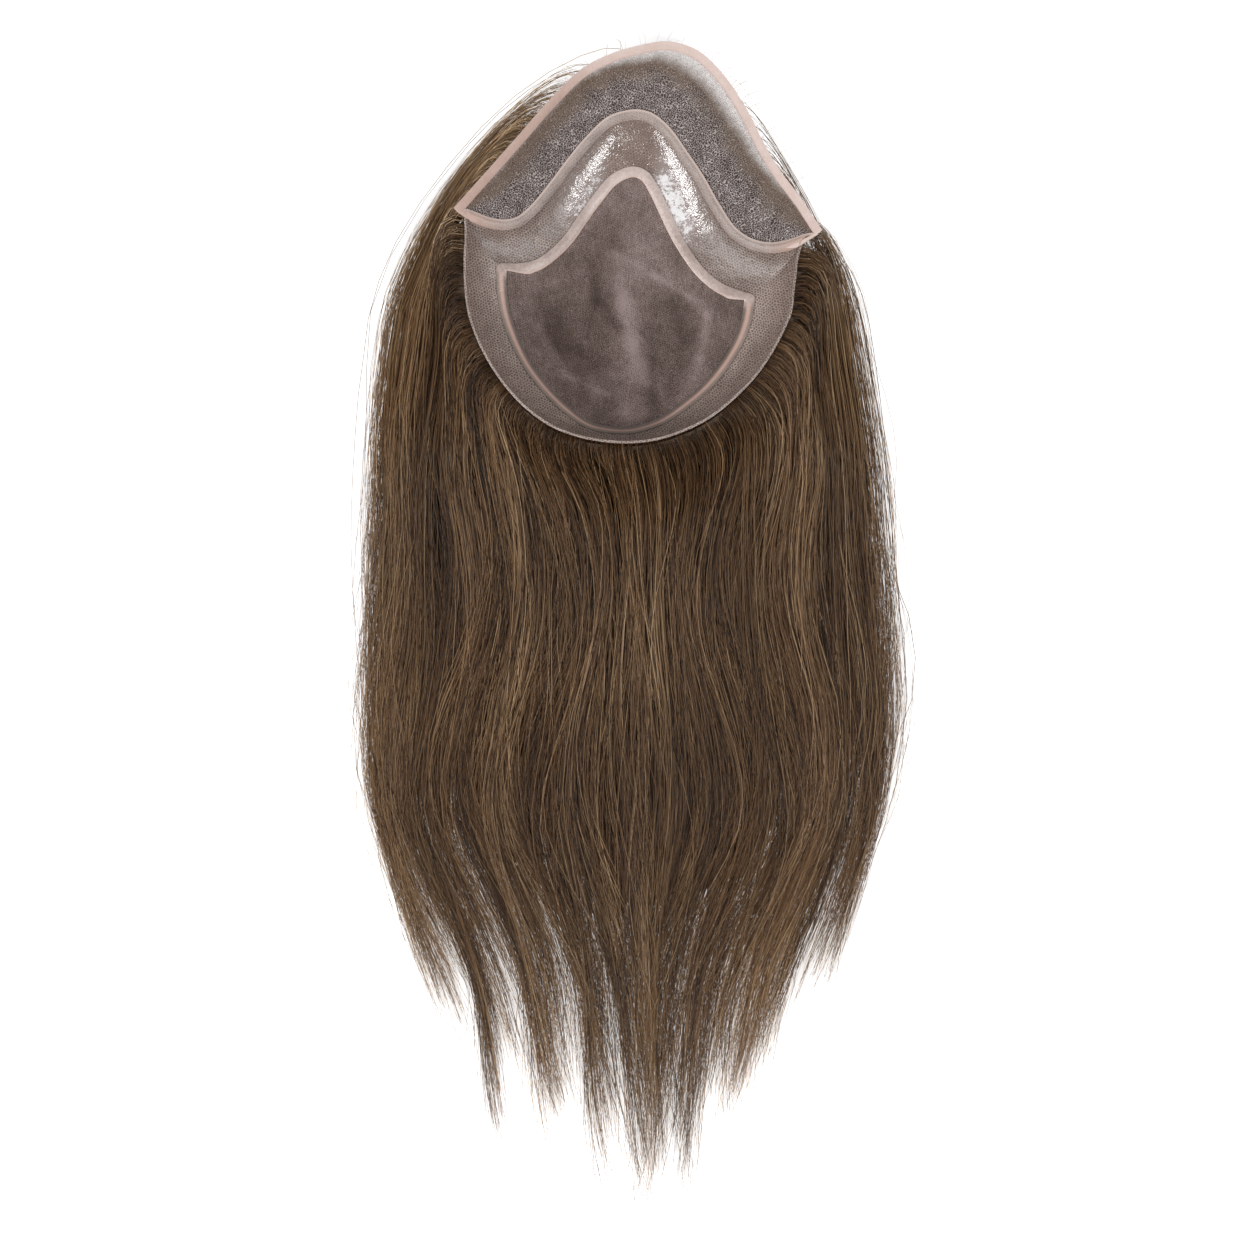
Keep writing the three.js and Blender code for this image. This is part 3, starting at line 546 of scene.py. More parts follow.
# Painted highlight: the ribbon is lighter on both sides of the arch in front, standing in for glints.
painted_glint = round_share.step(0.13, 0.19) * round_share.step(0.3, 0.37, 1, 0)
cloth = (cloudy * 0.9 + weave * 0.7 - 0.35 + painted_glint * 0.25).blend(rgb("937e76"), rgb("dccbc4"))
under_net = across.step(0.3, 0.5).blend(
    (cloudy * 0.6 + weave * 0.6 - 0.1).blend(rgb("54463f"), rgb("85756e")),
    (cloudy * 0.6 + weave * 0.6 - 0.1).blend(rgb("6b5d55"), rgb("a3948b")))
line = across.step(0.15, 0.45) * across.step(0.55, 0.85, 1, 0)
tone = across.step(0.0, 0.3, 1, 0).blend(cloth, rgb("c9aea3"))
feed(ribbon_surface, "Base Color", behind.blend(tone, (line * 0.9).blend(under_net, rgb("c6a396"))))
feed(ribbon_surface, "Normal", (weave + cloudy).bumps())


def ribbon_lift(out_share):
    """A ribbon lies on the net's wall and eases down to its two selvedges."""
    return (NET_WALL + RIBBON_WALL) / 2 - 0.25 + 0.25 * (1 - np.abs(2 * out_share - 1) ** 3)


def over_seam(out_share, inner, seam, outer):
    """From a ribbon's inner edge to the seam under its middle, and on to its outer edge."""
    to_seam = inner + (seam - inner) * out_share * 2
    return np.where(out_share < 0.5, to_seam, seam + (outer - seam) * (out_share * 2 - 1))


def crown_ribbon_place(round_share, out_share):
    s = np.where(round_share >= 1, 0.0, round_share)
    t = over_seam(out_share, crown_edge(s, RIBBON_WIDTH / 2), 1, skin_edge(s, RIBBON_WIDTH / 2))
    return on_cap(s, t, ribbon_lift(out_share))


panel("crown_ribbon_strip", crown_ribbon, (288, 6), crown_ribbon_place, RIBBON_WALL,
      "crown_binding", True)


# The wave ribbon: a greyish pink strip over the wavy seam between the skin and the lace,
# pinker at both ends and pale along its front edge.
wave_ribbon, wave_surface, wavy = coloured("wave_ribbon", Roughness=0.4)
spot = wavy.spot()
across = wavy.uv(1)
weave = wavy.noise(spot, 700, 3, 0.7)
cloudy = wavy.noise(spot, 120, 3, 0.6)
edge_line = across.step(0.72, 0.9)
net_line = woven(wavy, 0.00145, 0.0026)
tone = (cloudy * 0.8 + weave * 0.6 + net_line * 0.3 - 0.35).blend(rgb("80716a"), rgb("c4b4ad"))
along = wavy.uv(0)
ends = along.step(0.02, 0.12, 1, 0) + along.step(0.9, 0.98)
tone = (ends * 0.8).blend(tone, rgb("c3a598"))
feed(wave_surface, "Base Color", (edge_line * 0.8).blend(tone, rgb("d6c2b9")))
feed(wave_surface, "Normal", (weave + cloudy).bumps())


def wave_place(round_share, out_share):
    s = round_share * 0.5
    t = over_seam(out_share, wave_back(s, RIBBON_WIDTH / 2), 2, wave_front(s, RIBBON_WIDTH / 2))
    return on_cap(s, t, ribbon_lift(out_share), np.where(out_share < 0.5, -1, 1))


panel("wave_ribbon_strip", wave_ribbon, (180, 6), wave_place, RIBBON_WALL,
      "wave_binding")


# The lace front: hair knotted one by one into fine lace, dark with knots and paler towards
# the bare strip of lace inside the hairline tape.
lace, lace_surface, knots = coloured("front_lace", Roughness=0.75, Specular_IOR_Level=0.3)
spot = knots.spot()
across, along = knots.uv(1), knots.uv(0)
cloudy = knots.noise(spot, 110, 4, 0.65)
speckle = knots.noise(spot, 1150, 3, 0.75)
pebbled = woven(knots, 0.00125, 0.005)
strip = along.step(0.3, 0.62) * along.step(0.66, 0.95, 1, 0)
bare = (across + strip * 0.2 + (cloudy - 0.5) * 0.16).step(0.86, 1.12)
hairy = (across + (cloudy - 0.5) * 0.8).step(0.36, 0.78)
strokes = knots.noise(knots.node("ShaderNodeTexCoord", out=2), 190, 3, 0.7, (1, 0.16, 1))
specks = (cloudy * 0.55 + speckle * 0.75 + pebbled * 0.48 - 0.38).ramp(
    (0.2, "3d312c"), (0.42, "6a5c57"), (0.62, "988b88"), (0.85, "d6cdcc"))
hair_strokes = (speckle * 0.9 + strokes * 1.1 - 0.55).blend(rgb("4c392c"), rgb("a8917f"))
tone = (hairy * 0.8).blend(specks, hair_strokes)
bare_lace = strokes.step(0.25, 0.5).blend(rgb("bcaea4"), rgb("f3edeb"))
feed(lace_surface, "Base Color", bare.blend(tone, bare_lace))
feed(lace_surface, "Normal", (speckle + pebbled).bumps(0.0008, 0.8))


def lace_borders(s):
    return wave_front(s, RIBBON_WIDTH / 2 - TUCK), tape_edge(s, TAPE_WIDTH - TUCK)


tries = np.linspace(0, 0.5, 251)
near, far = lace_borders(tries)
wide = tries[np.linalg.norm(cap_point(tries, near) - cap_point(tries, far), axis=1) > 1.2]


def lace_place(round_share, out_share):
    s = wide[0] + (wide[-1] - wide[0]) * round_share
    inner, outer = lace_borders(s)
    t = inner + (outer - inner) * out_share
    return on_cap(s, t, 0 * t, np.where(out_share < 0.5, 1, -1))


front_lace = panel("front_lace_panel", lace, (170, 20), lace_place, NET_WALL, "front_lace")


# The hairline tape: a pinkish ribbon along the front edge, from wing tip to wing tip, and
# darker on the left where hair lies behind it.
tape, tape_surface, pink = coloured("hairline_tape", Roughness=0.55)
spot = pink.spot()
across = pink.uv(1)
weave = pink.noise(spot, 700, 3, 0.7)
cloudy = pink.noise(spot, 140, 3, 0.6)
tone = (cloudy * 0.8 + weave * 0.6 - 0.2).blend(rgb("ccb0a5"), rgb("e6d6cf"))
along = pink.uv(0)
darker = (cloudy * 0.7 + weave * 0.5 - 0.1).blend(rgb("ab8c80"), rgb("d3b5a9"))
tone = (along.step(0.3, 0.42, 1, 0) * 0.9).blend(tone, darker)
feed(tape_surface, "Base Color", (across.step(0.0, 0.25, 1, 0) * 0.4).blend(tone, rgb("bf9f94")))
feed(tape_surface, "Normal", (weave + cloudy).bumps())


FOLD_SHARE = 0.02  # share of the tape's run that is folded back round each wing tip


def tape_place(round_share, out_share):
    """Along the hairline, and at each end folded round the wing tip on to the wave ribbon."""
    s = np.clip((round_share - FOLD_SHARE) / (1 - 2 * FOLD_SHARE), 0, 1) * 0.5
    inner = tape_edge(s, TAPE_WIDTH)
    along = on_cap(s, inner + (3 - inner) * out_share, ribbon_lift(out_share), -1)
    turned = np.clip(1 - np.minimum(round_share, 1 - round_share) / FOLD_SHARE, 0, 1)
    end = np.where(round_share < 0.5, 0.0, 0.5)
    seam = end + np.where(round_share < 0.5, 0.022, -0.022) * (1 - out_share)
    t = 2 - (2 - wave_back(seam, RIBBON_WIDTH / 2)) * out_share
    return along + (on_cap(seam, t, ribbon_lift(out_share) + 0.5, -1) - along) * turned[:, None]


panel("hairline_tape_strip", tape, (180, 6), tape_place, RIBBON_WALL,
      "front_edge_tape")


# The hair: long, straight and brown, tied all over the outside of the cap and fanned out
# below it. Flow lines carry each strand from the cap to its tip; sizes are in millimetres.
HAIR_REACH, HAIR_WIDTH, HAIR_HEIGHT = 445, 272, 43
# Shares: place behind the crown's centre, spread to the left and right, height.
HAIR_SPREAD = np.array([
    (-0.29, 0.15, 0.15, 0.72), (-0.264, 0.27, 0.25, 0.76), (-0.202, 0.48, 0.475, 0.82),
    (-0.135, 0.65, 0.62, 0.88), (-0.079, 0.77, 0.72, 0.92), (0, 0.88, 0.82, 0.96),
    (0.112, 0.93, 0.88, 1), (0.169, 0.94, 0.91, 0.97), (0.225, 0.95, 0.93, 0.8),
    (0.337, 0.97, 0.965, 0.58), (0.449, 1, 1, 0.44), (0.562, 0.985, 0.965, 0.35),
    (0.674, 0.89, 0.875, 0.27), (0.787, 0.77, 0.77, 0.2), (0.899, 0.68, 0.68, 0.14),
    (1, 0.6, 0.6, 0.1),
])
# How far the tips reach across the hair, and the borders of the groups they part into.
TIP_REACH = np.array([
    (-1.04, 0.72), (-0.985, 0.82), (-0.77, 0.904), (-0.305, 0.983), (0.09, 1.01), (0.25, 1.0),
    (0.395, 0.983), (0.655, 0.95), (0.926, 0.82), (1.0, 0.74),
])
GROUP_BORDERS = np.array([-1.2, -0.86, -0.63, -0.39, -0.13, 0.07, 0.25, 0.45, 0.64, 0.83, 1.2])
# Where strands start, by their place across: 0 is the rim's middle at the back, 1 the wing tip
# on their side and 2 the middle of the hairline.
ROOT_PLACES = np.array([(0, 0), (0.57, 0.5), (0.76, 0.76), (0.86, 1), (0.935, 1.38), (1.1, 2.0)])
RIGHT_ROOTS = np.array([(0, 0), (0.56, 0.5), (0.76, 0.76), (0.9, 0.96), (1.1, 1.12)])


def eased_table(column):
    """A column of the spread table read along the hair, with its corners rounded."""
    fine_places = np.linspace(-0.32, 1.1, 600)
    values = np.interp(fine_places, HAIR_SPREAD[:, 0], HAIR_SPREAD[:, column])
    padded = np.pad(values, 14, mode="edge")
    soft = np.convolve(padded, np.hanning(29) / np.hanning(29).sum(), "valid")
    return lambda place: np.interp(place, fine_places, soft)


spread_left, spread_right, hair_top = eased_table(1), eased_table(2), eased_table(3)


def flow_x(across, place):
    return across * np.where(across < 0, spread_left(place), spread_right(place)) * HAIR_WIDTH / 2


def flow_top(across, place):
    return HAIR_HEIGHT * hair_top(place) * (1 - 0.5 * np.minimum(np.abs(across), 1.1) ** 2.5)


def root_place(across, wisps=False):
    """Where on the cap's outline a strand leaves it: s, and t of that outline. On the right
    only wisps are drawn back from in front of the wing."""
    along = np.interp(np.abs(across), ROOT_PLACES[:, 0], ROOT_PLACES[:, 1])
    right = np.interp(across, RIGHT_ROOTS[:, 0], RIGHT_ROOTS[:, 1])
    along = np.where((across > 0) & np.logical_not(wisps), right, along)
    behind = 0.75 + np.where(across < 0, 0.25, -0.25) * along
    before = np.where(across < 0, 0.25 * (along - 1), 0.5 - 0.25 * (along - 1))
    return np.where(along <= 1, behind, before), np.where(along <= 1, 2.0, 3.0)


def group_of(across):
    """The group of locks that a strand belongs to: its middle, and how far off it the strand is."""
    group = np.clip(np.searchsorted(GROUP_BORDERS, across) - 1, 0, 9)
    middle = (GROUP_BORDERS[group] + GROUP_BORDERS[group + 1]) / 2
    aside = 2 * np.abs(across - middle) / (GROUP_BORDERS[group + 1] - GROUP_BORDERS[group])
    return np.where(np.abs(middle) > 1, np.sign(middle) * 0.97, middle), aside


def wisp_end(wisp):
    """How far down the hair a wisp's point lies."""
    return np.interp(wisp, *TIP_REACH.T) + 0.045 * np.sin(wisp * 83) - 0.1 * group_of(wisp)[1] ** 2


NEAR_STEPS, FAR_STEPS = 6, 15  # rows of a strand in its arc out of the cap, and after it
WAIST_SWING, TIP_CURL = 12, 13  # the hair's swing in and out at the waist, its curl at the tips


def strand_paths(rng, across, offset, layer, tip, sway, phase, pitch, drift, swing, wisp):
    """Paths of many strands at once: an arc out of the cap, then on along the flow lines, in and
    out at the waist, and drawn together towards the tip with the rest of their wisp and group."""
    count = len(across)
    s, rim = root_place(across + offset, rng.uniform(0, 1, count) < 0.1)
    edge, inner = cap_point(s, rim), cap_point(s, rim - 0.25)
    outward = edge - inner
    span = np.linalg.norm(outward, axis=1)
    outward /= span[:, None]
    inset = 0.8 + (1 - np.clip(layer, 0, 1)) * 22 + rng.uniform(0, 3, count)
    t = rim - np.minimum(inset / (span * 4), 0.7)
    below = -cap_normal(s, t, 0)
    root = cap_point(s, t) + below * 0.5
    # Strands from the rim's sides run outwards first, strands from the wings do not.
    from_rim = (rim < 2.5) * np.clip((0.95 - np.abs(across)) / 0.1, 0, 1)
    sideways = from_rim * np.clip(np.abs(across), 0, 1) ** 2
    leave = below + outward * (0.25 + 0.45 * sideways)[:, None] - (0, 0, 0.35)
    leave /= np.linalg.norm(leave, axis=1)[:, None]
    first = -edge[:, 1] / HAIR_REACH + 0.07 + rng.uniform(0, 0.06, count)
    middle = group_of(across)[0]
    point = np.interp(middle, *TIP_REACH.T) + 0.02 * np.sin(middle * 37)
    closing = rng.uniform(0.2, 0.75, count) + 0.25 * np.sin(middle * 23)
    bend = rng.normal(0, 2, count) * np.where(rng.uniform(0, 1, count) < 0.15, 4, 1)
    bend = bend + 8 * np.sin(wisp * 61)
    wisp_point = wisp_end(wisp)
    own_phase, own_size = rng.uniform(0, 6.28, count), rng.gamma(2, 0.22, count)

    def flow(place):
        thinning = np.clip((place - 0.35) / np.maximum(tip - 0.35, 0.1), 0, 1)
        u = across + offset * (1 - 0.75 * thinning**1.5) + drift * (place - 0.3)
        u = u + (wisp - across) * 0.93 * np.clip(1 - (wisp_point - place) / 0.4, 0, 1) ** 1.3
        aside = np.clip(np.abs(u), 0, 1)
        drawn = 0.4 * (1 - 0.6 * aside) * np.clip((place - 0.5) / 0.5, 0, 1) ** 1.4
        window = 0.26 + 0.12 * np.abs(middle)
        closed = closing * np.clip(1 - (point - place) / window, 0, 0.95) ** 1.6
        u = u + (middle - u) * np.maximum(drawn, closed)
        growth = np.clip(place * 2.2 + 0.25, 0.2, 1)
        x = flow_x(u, place) + sway * np.sin(phase + place * pitch) * growth
        x = x + own_size * np.sin(own_phase + place * 13) * np.clip(place + 0.3, 0.3, 1.2)
        waist = swing * np.sin(np.pi * aside**0.9) * np.cos((place - 0.33) * 13.3 + phase * 0.12 - 0.4)
        waist = waist * np.clip((place - 0.08) / 0.15, 0, 1)
        waist = waist * np.interp(place, [0, 0.6, 0.9], [1, 1, 0.2])
        x = x - np.sign(u) * waist
        curl = TIP_CURL * (1 - 0.55 * aside) * np.clip(1 - (tip - place) / 0.22, 0, 1) ** 2
        x = x - np.tanh((u - 0.12) * 7) * curl
        x = x + bend * np.clip((place - 0.6) / 0.3, 0, 1.3) ** 2
        z = flow_top(u, place) * (layer + 0.05 * np.sin(phase * 3 + place * 11))
        return np.stack([x, -place * HAIR_REACH, np.maximum(z, 0.7)], -1)

    join = flow(first)
    heading = flow(first + 0.01) - join
    heading /= np.linalg.norm(heading, axis=1)[:, None]
    gap = np.linalg.norm(join - root, axis=1)[:, None]
    p1 = root + leave * gap * (0.3 + 0.2 * sideways)[:, None]
    p2 = join - heading * gap * 0.5
    rows = []
    for step in range(NEAR_STEPS):
        k = (step / NEAR_STEPS) ** 1.15
        rows.append(root * (1 - k) ** 3 + 3 * p1 * k * (1 - k) ** 2
                    + 3 * p2 * k**2 * (1 - k) + join * k**3)
    for step in range(FAR_STEPS + 1):
        rows.append(flow(first + (tip - first) * step / FAR_STEPS))
    return np.stack(rows, 1)


def strand_mesh(name, paths, thick, shades, warmth):
    """Many strands joined in one mesh: three-sided tubes, tapered to the tip and closed."""
    count, rows, _ = paths.shape
    run = np.gradient(paths, axis=1)
    run /= np.maximum(np.linalg.norm(run, axis=2), 1e-9)[..., None]
    sideways = np.cross(run, (0, 0, 1))
    sideways /= np.maximum(np.linalg.norm(sideways, axis=2), 1e-9)[..., None]
    upward = np.cross(sideways, run)
    taper = np.interp(np.linspace(0, 1, rows), [0, 0.1, 0.55, 0.9, 1], [0.8, 1, 0.9, 0.7, 0.3])
    radius = thick[:, None] / 2 * taper
    ring = []
    for angle in (90, 210, 330):
        c, s = math.cos(math.radians(angle)), math.sin(math.radians(angle))
        ring.append(paths + (sideways * c + upward * s) * radius[..., None])
    points = (np.stack(ring, 2).reshape(-1, 3) + CROWN_CENTRE) * 0.001
    base = (np.arange(count)[:, None, None] * rows + np.arange(rows - 1)[None, :, None]) * 3
    k = np.arange(3)[None, None, :]
    turn = (k + 1) % 3
    quads = np.stack([base + k, base + turn, base + 3 + turn, base + 3 + k], -1).reshape(-1, 4)
    starts = np.arange(count) * rows * 3
    ends = starts + (rows - 1) * 3
    root_caps = np.stack([starts + 2, starts + 1, starts], 1)
    caps = np.concatenate([root_caps, np.stack([ends, ends + 1, ends + 2], 1)])
    data = bpy.data.meshes.new(name)
    data.vertices.add(len(points))
    data.vertices.foreach_set("co", points.astype(np.float32).ravel())
    corners = np.concatenate([quads.ravel(), caps.ravel()])
    sizes = np.concatenate([np.full(len(quads), 4), np.full(len(caps), 3)])
    data.loops.add(len(corners))
    data.loops.foreach_set("vertex_index", corners.astype(np.int32))
    data.polygons.add(len(sizes))
    data.polygons.foreach_set("loop_start", (np.cumsum(sizes) - sizes).astype(np.int32))
    data.polygons.foreach_set("use_smooth", np.ones(len(sizes), bool))
    data.update(calc_edges=True)
    piece = placed(name, data)
    mark(piece, "shade", np.repeat(shades.reshape(-1), 3))
    mark(piece, "warm", np.repeat(warmth, rows * 3))
    data.materials.append(brown)
    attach(piece, "root")
    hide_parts("hair")


# Each strand has its own brown, with painted shade where it lies deep under the cap's rim.
brown, brown_surface, tint = coloured("brown_hair", Roughness=0.34, Specular_IOR_Level=0.34)
shade = tint.node("ShaderNodeAttribute", {"attribute_name": "shade"}, out=2)
warm = tint.node("ShaderNodeAttribute", {"attribute_name": "warm"}, out=2)
tone = shade.ramp((0.0, "1e140a"), (0.3, "533a22"), (0.6, "90704c"), (1.0, "dfc199"))
feed(brown_surface, "Base Color", (warm * 0.32).blend(tone, rgb("e0a88c"), "MULTIPLY"))

# The strands: they lie in locks, each with its own place, layer, sway and shade, and the locks
# draw together in wisps towards the tips.
rng = np.random.default_rng(11)
LOCKS = 230
lock_across = np.linspace(-1, 1, LOCKS)
lock_across = 0.6 * lock_across + 0.355 * np.sin(lock_across * 1.45) + rng.normal(0, 0.01, LOCKS)
lock_layer = np.where(rng.uniform(0, 1, LOCKS) < 0.62,
                      rng.uniform(0.84, 1.02, LOCKS), rng.uniform(0.35, 0.85, LOCKS))
lock_sway, lock_phase = rng.gamma(3, 0.8, LOCKS), rng.uniform(0, 6.28, LOCKS)
lock_pitch, lock_drift = rng.uniform(12, 20, LOCKS), rng.normal(0, 0.03, LOCKS)
lock_shade, lock_warm = rng.beta(2.2, 2.2, LOCKS), rng.uniform(0, 1, LOCKS)
lock_swing = WAIST_SWING * rng.uniform(0.45, 1.3, LOCKS)
WISPS = 19  # wisps from the middle to either side
lock_wisp = np.round(lock_across * WISPS + rng.normal(0, 0.35, LOCKS)) / WISPS

HAIR_PIECES, STRANDS = 6, 830
for batch in range(HAIR_PIECES):
    rng = np.random.default_rng(40 + batch)
    own = rng.integers(0, LOCKS, STRANDS)
    loose = rng.uniform(0, 1, STRANDS) < 0.14
    offset = rng.normal(0, 0.018, STRANDS) * np.where(loose, 2, 1)
    across = np.clip(lock_across[own], -0.97, 0.97)
    fringe = rng.exponential(0.025, STRANDS) - 0.025
    offset += np.where(np.abs(across) > 0.9, np.sign(across) * fringe, 0)
    layer = np.clip(lock_layer[own] + rng.normal(0, 0.035, STRANDS) + loose * 0.05, 0.25, 1.06)
    tip = np.maximum(wisp_end(lock_wisp[own]) - rng.exponential(0.24, STRANDS), 0.45)
    sway = lock_sway[own] * rng.uniform(0.7, 1.3, STRANDS) * np.where(loose, 1.5, 1)
    phase = lock_phase[own] + rng.normal(0, 0.3, STRANDS) + loose * rng.uniform(-2, 2, STRANDS)
    drift = lock_drift[own] + rng.normal(0, 0.01, STRANDS) * np.where(loose, 5, 1)
    paths = strand_paths(rng, across, offset, layer, tip, sway, phase, lock_pitch[own], drift,
                         lock_swing[own] * rng.uniform(0.85, 1.15, STRANDS), lock_wisp[own])
    bright = 0.2 + 0.5 * lock_shade[own] + rng.normal(0, 0.19, STRANDS)
    bright += np.where(rng.uniform(0, 1, STRANDS) < 0.14, 0.24, 0)
    # Painted shade: strands in the lower layers are darker.
    layer_shade = 0.6 + 0.4 * np.clip((layer - 0.3) / 0.6, 0, 1)
    # Painted shade darkens it where it comes from under the rim, and it is darker down the sides; a
    # painted highlight lightens a band of it, and it is lighter at the thin tips. The far left comes
    # over the wing from the front and is painted lighter, as in full light.
    along = np.arange(paths.shape[1])
    root_shade_and_light = np.interp(along, [0, 2, 6], [0.6, 0.78, 1]) + 0 * across[:, None]
    root_shade_and_light[across < -0.84] = 1.9 - 0.11 * np.minimum(along, 7)
    down = np.interp(along, [5, 7, 9, 13, 17, 21], [1, 0.97, 0.95, 0.84, 0.86, 1.35])
    place = -paths[..., 1] / HAIR_REACH
    painted_sheen = np.exp(-(((place - 0.4 + 0.1 * across[:, None]) / 0.07) ** 2))
    down = down + 0.2 * painted_sheen * (across < 0.3)[:, None]
    down = down * (1 - 0.16 * across[:, None] ** 2 * np.clip((along - 5) / 3, 0, 1))
    warmth = 0.6 * lock_warm[own] + 0.4 * rng.uniform(0, 1, STRANDS)
    strand_mesh(f"hair_strands_{batch + 1}", paths, rng.uniform(0.22, 0.46, STRANDS),
                (bright * layer_shade)[:, None] * root_shade_and_light * down, warmth)

# The thin ends: finer hairs, built over the last rows of their paths only, where the locks
# run out and the table shows between them.
rng = np.random.default_rng(61)
ENDS, END_ROWS = 2500, 9
own = rng.integers(0, LOCKS, ENDS)
across, layer = np.clip(lock_across[own], -0.97, 0.97), rng.uniform(0.2, 0.95, ENDS)
tip = np.maximum(wisp_end(lock_wisp[own]) + 0.01 - rng.gamma(1.3, 0.12, ENDS), 0.55)
paths = strand_paths(rng, across, rng.normal(0, 0.03, ENDS), layer, tip, lock_sway[own],
                     lock_phase[own] + rng.normal(0, 0.5, ENDS), lock_pitch[own],
                     lock_drift[own] + rng.normal(0, 0.03, ENDS), lock_swing[own], lock_wisp[own])
thick = rng.uniform(0.12, 0.28, ENDS)
bright = np.clip(rng.normal(0.5, 0.16, ENDS), 0.1, 1)
down = np.interp(np.arange(END_ROWS), [0, 2, 8], [0.7, 1, 1.3])
strand_mesh("hair_ends", paths[:, -END_ROWS:], thick, bright[:, None] * down,
            rng.uniform(0.2, 1, ENDS))

# Fine hairs that have come loose along both sides. The left side has more of them, and
# thicker ones, because its hair comes over the wing from the front.
rng = np.random.default_rng(5)
LOOSE = 560
over_wing = np.arange(LOOSE) < 220
across = np.where(over_wing, -rng.uniform(0.86, 0.98, LOOSE),
                  rng.choice([-1, 1], LOOSE) * rng.uniform(0.86, 1.03, LOOSE))
paths = strand_paths(rng, across, 0 * across, rng.uniform(0.7, 1.05, LOOSE),
                     np.maximum(np.interp(across, *TIP_REACH.T) - rng.gamma(1.5, 0.12, LOOSE), 0.4),
                     rng.gamma(3, 1.1, LOOSE), rng.uniform(0, 6.28, LOOSE), rng.uniform(9, 24, LOOSE),
                     rng.normal(0, 0.03, LOOSE), rng.uniform(0, 12, LOOSE), across)
thick = rng.uniform(0.12, 0.24, LOOSE) * np.where(over_wing, 1.5, 1)
strand_mesh("loose_hairs", paths, thick,
            rng.uniform(0.4, 0.85, LOOSE)[:, None] * np.ones(paths.shape[1]), rng.uniform(0, 1, LOOSE))

# The hairline hairs: short, fine and curved, standing out past the tape. They bend away from
# the middle on both sides and droop towards the table.
HAIRLINE_HAIRS = 70
s = rng.uniform(0.06, 0.45, HAIRLINE_HAIRS)
edge, inner = cap_point(s, 3.0), cap_point(s, 2.8)
out = edge - inner
out /= np.linalg.norm(out, axis=1)[:, None]
back = np.where(s < 0.25, -1, 1)[:, None] * np.array([1, 0, 0])
back = back * rng.uniform(0.1, 0.9, HAIRLINE_HAIRS)[:, None]
reach = rng.gamma(3, 3.3, HAIRLINE_HAIRS)[:, None] * np.where(s < 0.25, 1.6, 0.8)[:, None]
k = np.linspace(0, 1, 12)[None, :, None]
curl = rng.normal(0, 0.25, HAIRLINE_HAIRS)[:, None, None] * np.array([0.7, -0.7, 0.2])
droop = np.array([0, -0.35, -0.75]) * reach[:, None]
start = (edge - out * 2 - (0, 0, 0.9))[:, None]
paths = start + reach[:, None] * (out[:, None] * k + (back[:, None] + curl) * k**2) + droop * k**2.2
paths[..., 2] = np.maximum(paths[..., 2], 1)
thick = rng.uniform(0.09, 0.17, HAIRLINE_HAIRS)
bright = rng.uniform(0.3, 0.75, HAIRLINE_HAIRS)
strand_mesh("hairline_hairs", paths, thick, bright[:, None] * np.ones(12),
            rng.uniform(0, 1, HAIRLINE_HAIRS))

# The front hair: a wall of hairs that fall from under the hairline to the table, side by side
# from wing to wing. Their feet follow the base of the hair under the cap.
FRONT_HAIRS = 700
s = rng.uniform(0.045, 0.455, FRONT_HAIRS)
start = cap_point(s, 2.86) - cap_normal(s, np.full(FRONT_HAIRS, 2.86), 0) * 1.2
foot_s = np.clip(s + rng.normal(0, 0.012, FRONT_HAIRS) + (s - 0.25) * 0.12, 0.02, 0.48)
front_part = np.sin(foot_s * 2 * np.pi) ** 0.5
foot = cap_point(foot_s, 1.93 + 0.9 * front_part) * (1, 1, 0)
ahead = rng.uniform(0.5, 2, FRONT_HAIRS) + 9 * (1 - front_part)
foot *= 1 + (ahead / np.linalg.norm(foot, axis=1))[:, None]
foot[:, 2] = rng.uniform(0.6, 2.5, FRONT_HAIRS)
k = np.linspace(0, 1, 7)[None, :, None]
belly = rng.uniform(0.5, 2.2, FRONT_HAIRS)[:, None, None] * np.sin(k * np.pi) * (0, 1, 0)
paths = start[:, None] * (1 - k) + foot[:, None] * k + belly
thick = rng.uniform(0.4, 0.8, FRONT_HAIRS)
bright = rng.normal(0.42, 0.14, FRONT_HAIRS)
strand_mesh("front_hairs", paths, thick, bright[:, None] * np.linspace(1, 0.8, 7),
            rng.uniform(0, 1, FRONT_HAIRS))

# The deep hair: a mat under the strands, closed down to the table, in a dark brown that is painted
# shade of the hair lying deep. It keeps the table from showing through the fan near the cap, and ends
# well before the tips.
deep_mesh, along, out_share = flat_grid(200, 30)
aside = (along - 0.5) * 2
u = aside * 0.93
end = 0.72 - 0.26 * np.abs(u) ** 1.5
end = end + 0.03 * np.sin(u * 41) + 0.02 * np.sin(u * 97) + 0.02 * np.sin(u * 171)
s, rim = root_place(u)
start = -cap_point(s, rim)[:, 1] / HAIR_REACH + 0.012 + 0.06 * np.abs(aside) ** 24
place = end + (start - end) * out_share
top = flow_top(u, place) * 0.6 * (1 - np.abs(aside) ** 6)
top = top * np.clip((end - place) / 0.2, 0.15, 1)
bend_grid(deep_mesh, np.stack([flow_x(u, place), -place * HAIR_REACH, np.maximum(top, 0.5)], 1))
for face in deep_mesh.faces:
    face.smooth = True
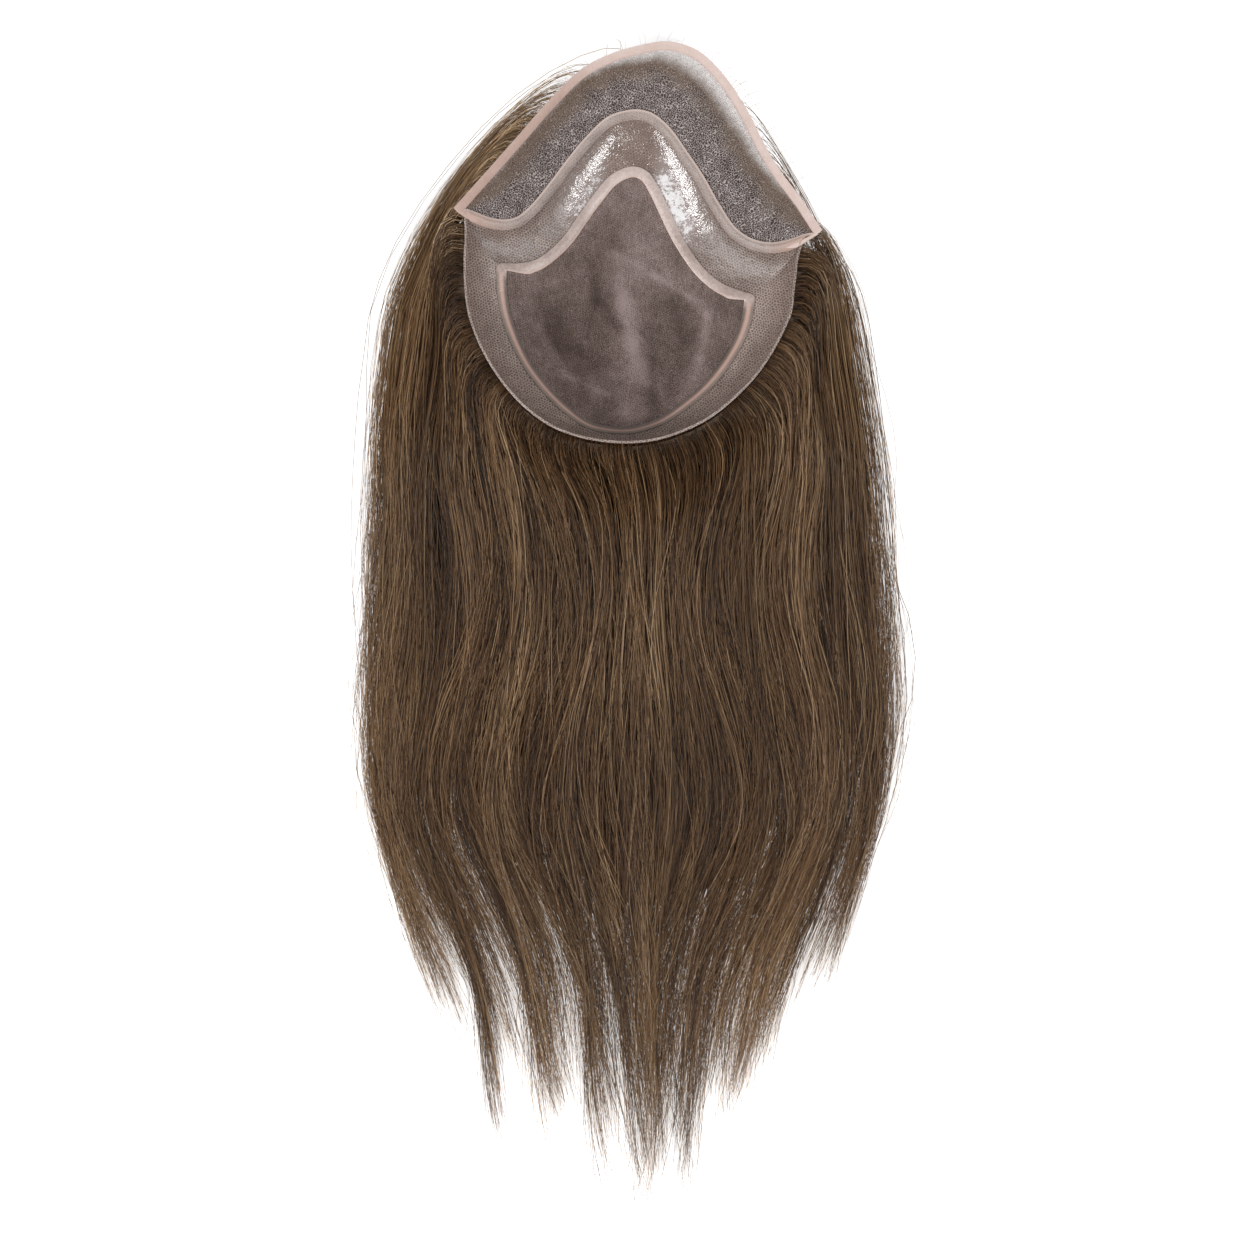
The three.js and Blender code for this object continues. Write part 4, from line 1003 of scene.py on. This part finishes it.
whole = bmesh.ops.extrude_face_region(deep_mesh, geom=deep_mesh.faces[:])
for item in whole["geom"]:
    if isinstance(item, bmesh.types.BMVert):
        item.co.z = 0.0002
dark, dark_surface, deep_tint = coloured("deep_hair", Roughness=0.6)
streaks = deep_tint.noise(deep_tint.spot(), 900, 3, 0.7, (1, 0.03, 0.3))
feed(dark_surface, "Base Color", streaks.blend(rgb("22170e"), rgb("64503c")))


def dark_mass(name, made):
    """A closed mass of hair under the strands, in a dark brown that is painted shade."""
    bmesh.ops.recalc_face_normals(made, faces=made.faces)
    data = bpy.data.meshes.new(name)
    made.to_mesh(data)
    piece = placed(name, data)
    data.materials.append(dark)
    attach(piece, "root")
    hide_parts("hair")


dark_mass("deep_hair", deep_mesh)

# The hair under the cap: the mass of roots that the cap lies on, in the same dark painted-shade brown.
# Its top follows the cap's form a little below it, and its sides fall to the table and close there.
bed_mesh, s, out_share = flat_grid(160, 40)
s = s % 1.0
front_part = np.clip(np.sin(s * 2 * np.pi), 0, 1) ** 0.5
last = 1.9 + np.where(s <= 0.5, 0.9 * front_part, 0)
to_edge = 1 + (last - 1) * np.minimum((out_share - 0.4) / 0.4, 1)
t = np.where(out_share < 0.4, out_share / 0.4, to_edge)
under = cap_point(s, t) - cap_normal(s, t, 0) * 2.0
fall = np.clip((out_share - 0.8) / 0.2, 0, 1)
away = under * (1, 1, 0)
away = away / np.maximum(np.linalg.norm(away, axis=1), 1e-6)[:, None]
wing = np.minimum(np.minimum(s, np.abs(s - 0.5)), 1 - s)
flare = 9 * np.clip(wing / 0.02, 0, 1) * np.where(s < 0.5, 1 - front_part, 1)
under = under + away * (fall**0.8 * flare)[:, None]
under[:, 2] *= 1 - fall**1.6
bend_grid(bed_mesh, under)
bmesh.ops.remove_doubles(bed_mesh, verts=bed_mesh.verts, dist=1e-6)
rim_edges = [edge for edge in bed_mesh.edges if edge.is_boundary]
bmesh.ops.contextual_create(bed_mesh, geom=rim_edges)
dark_mass("hair_bed", bed_mesh)
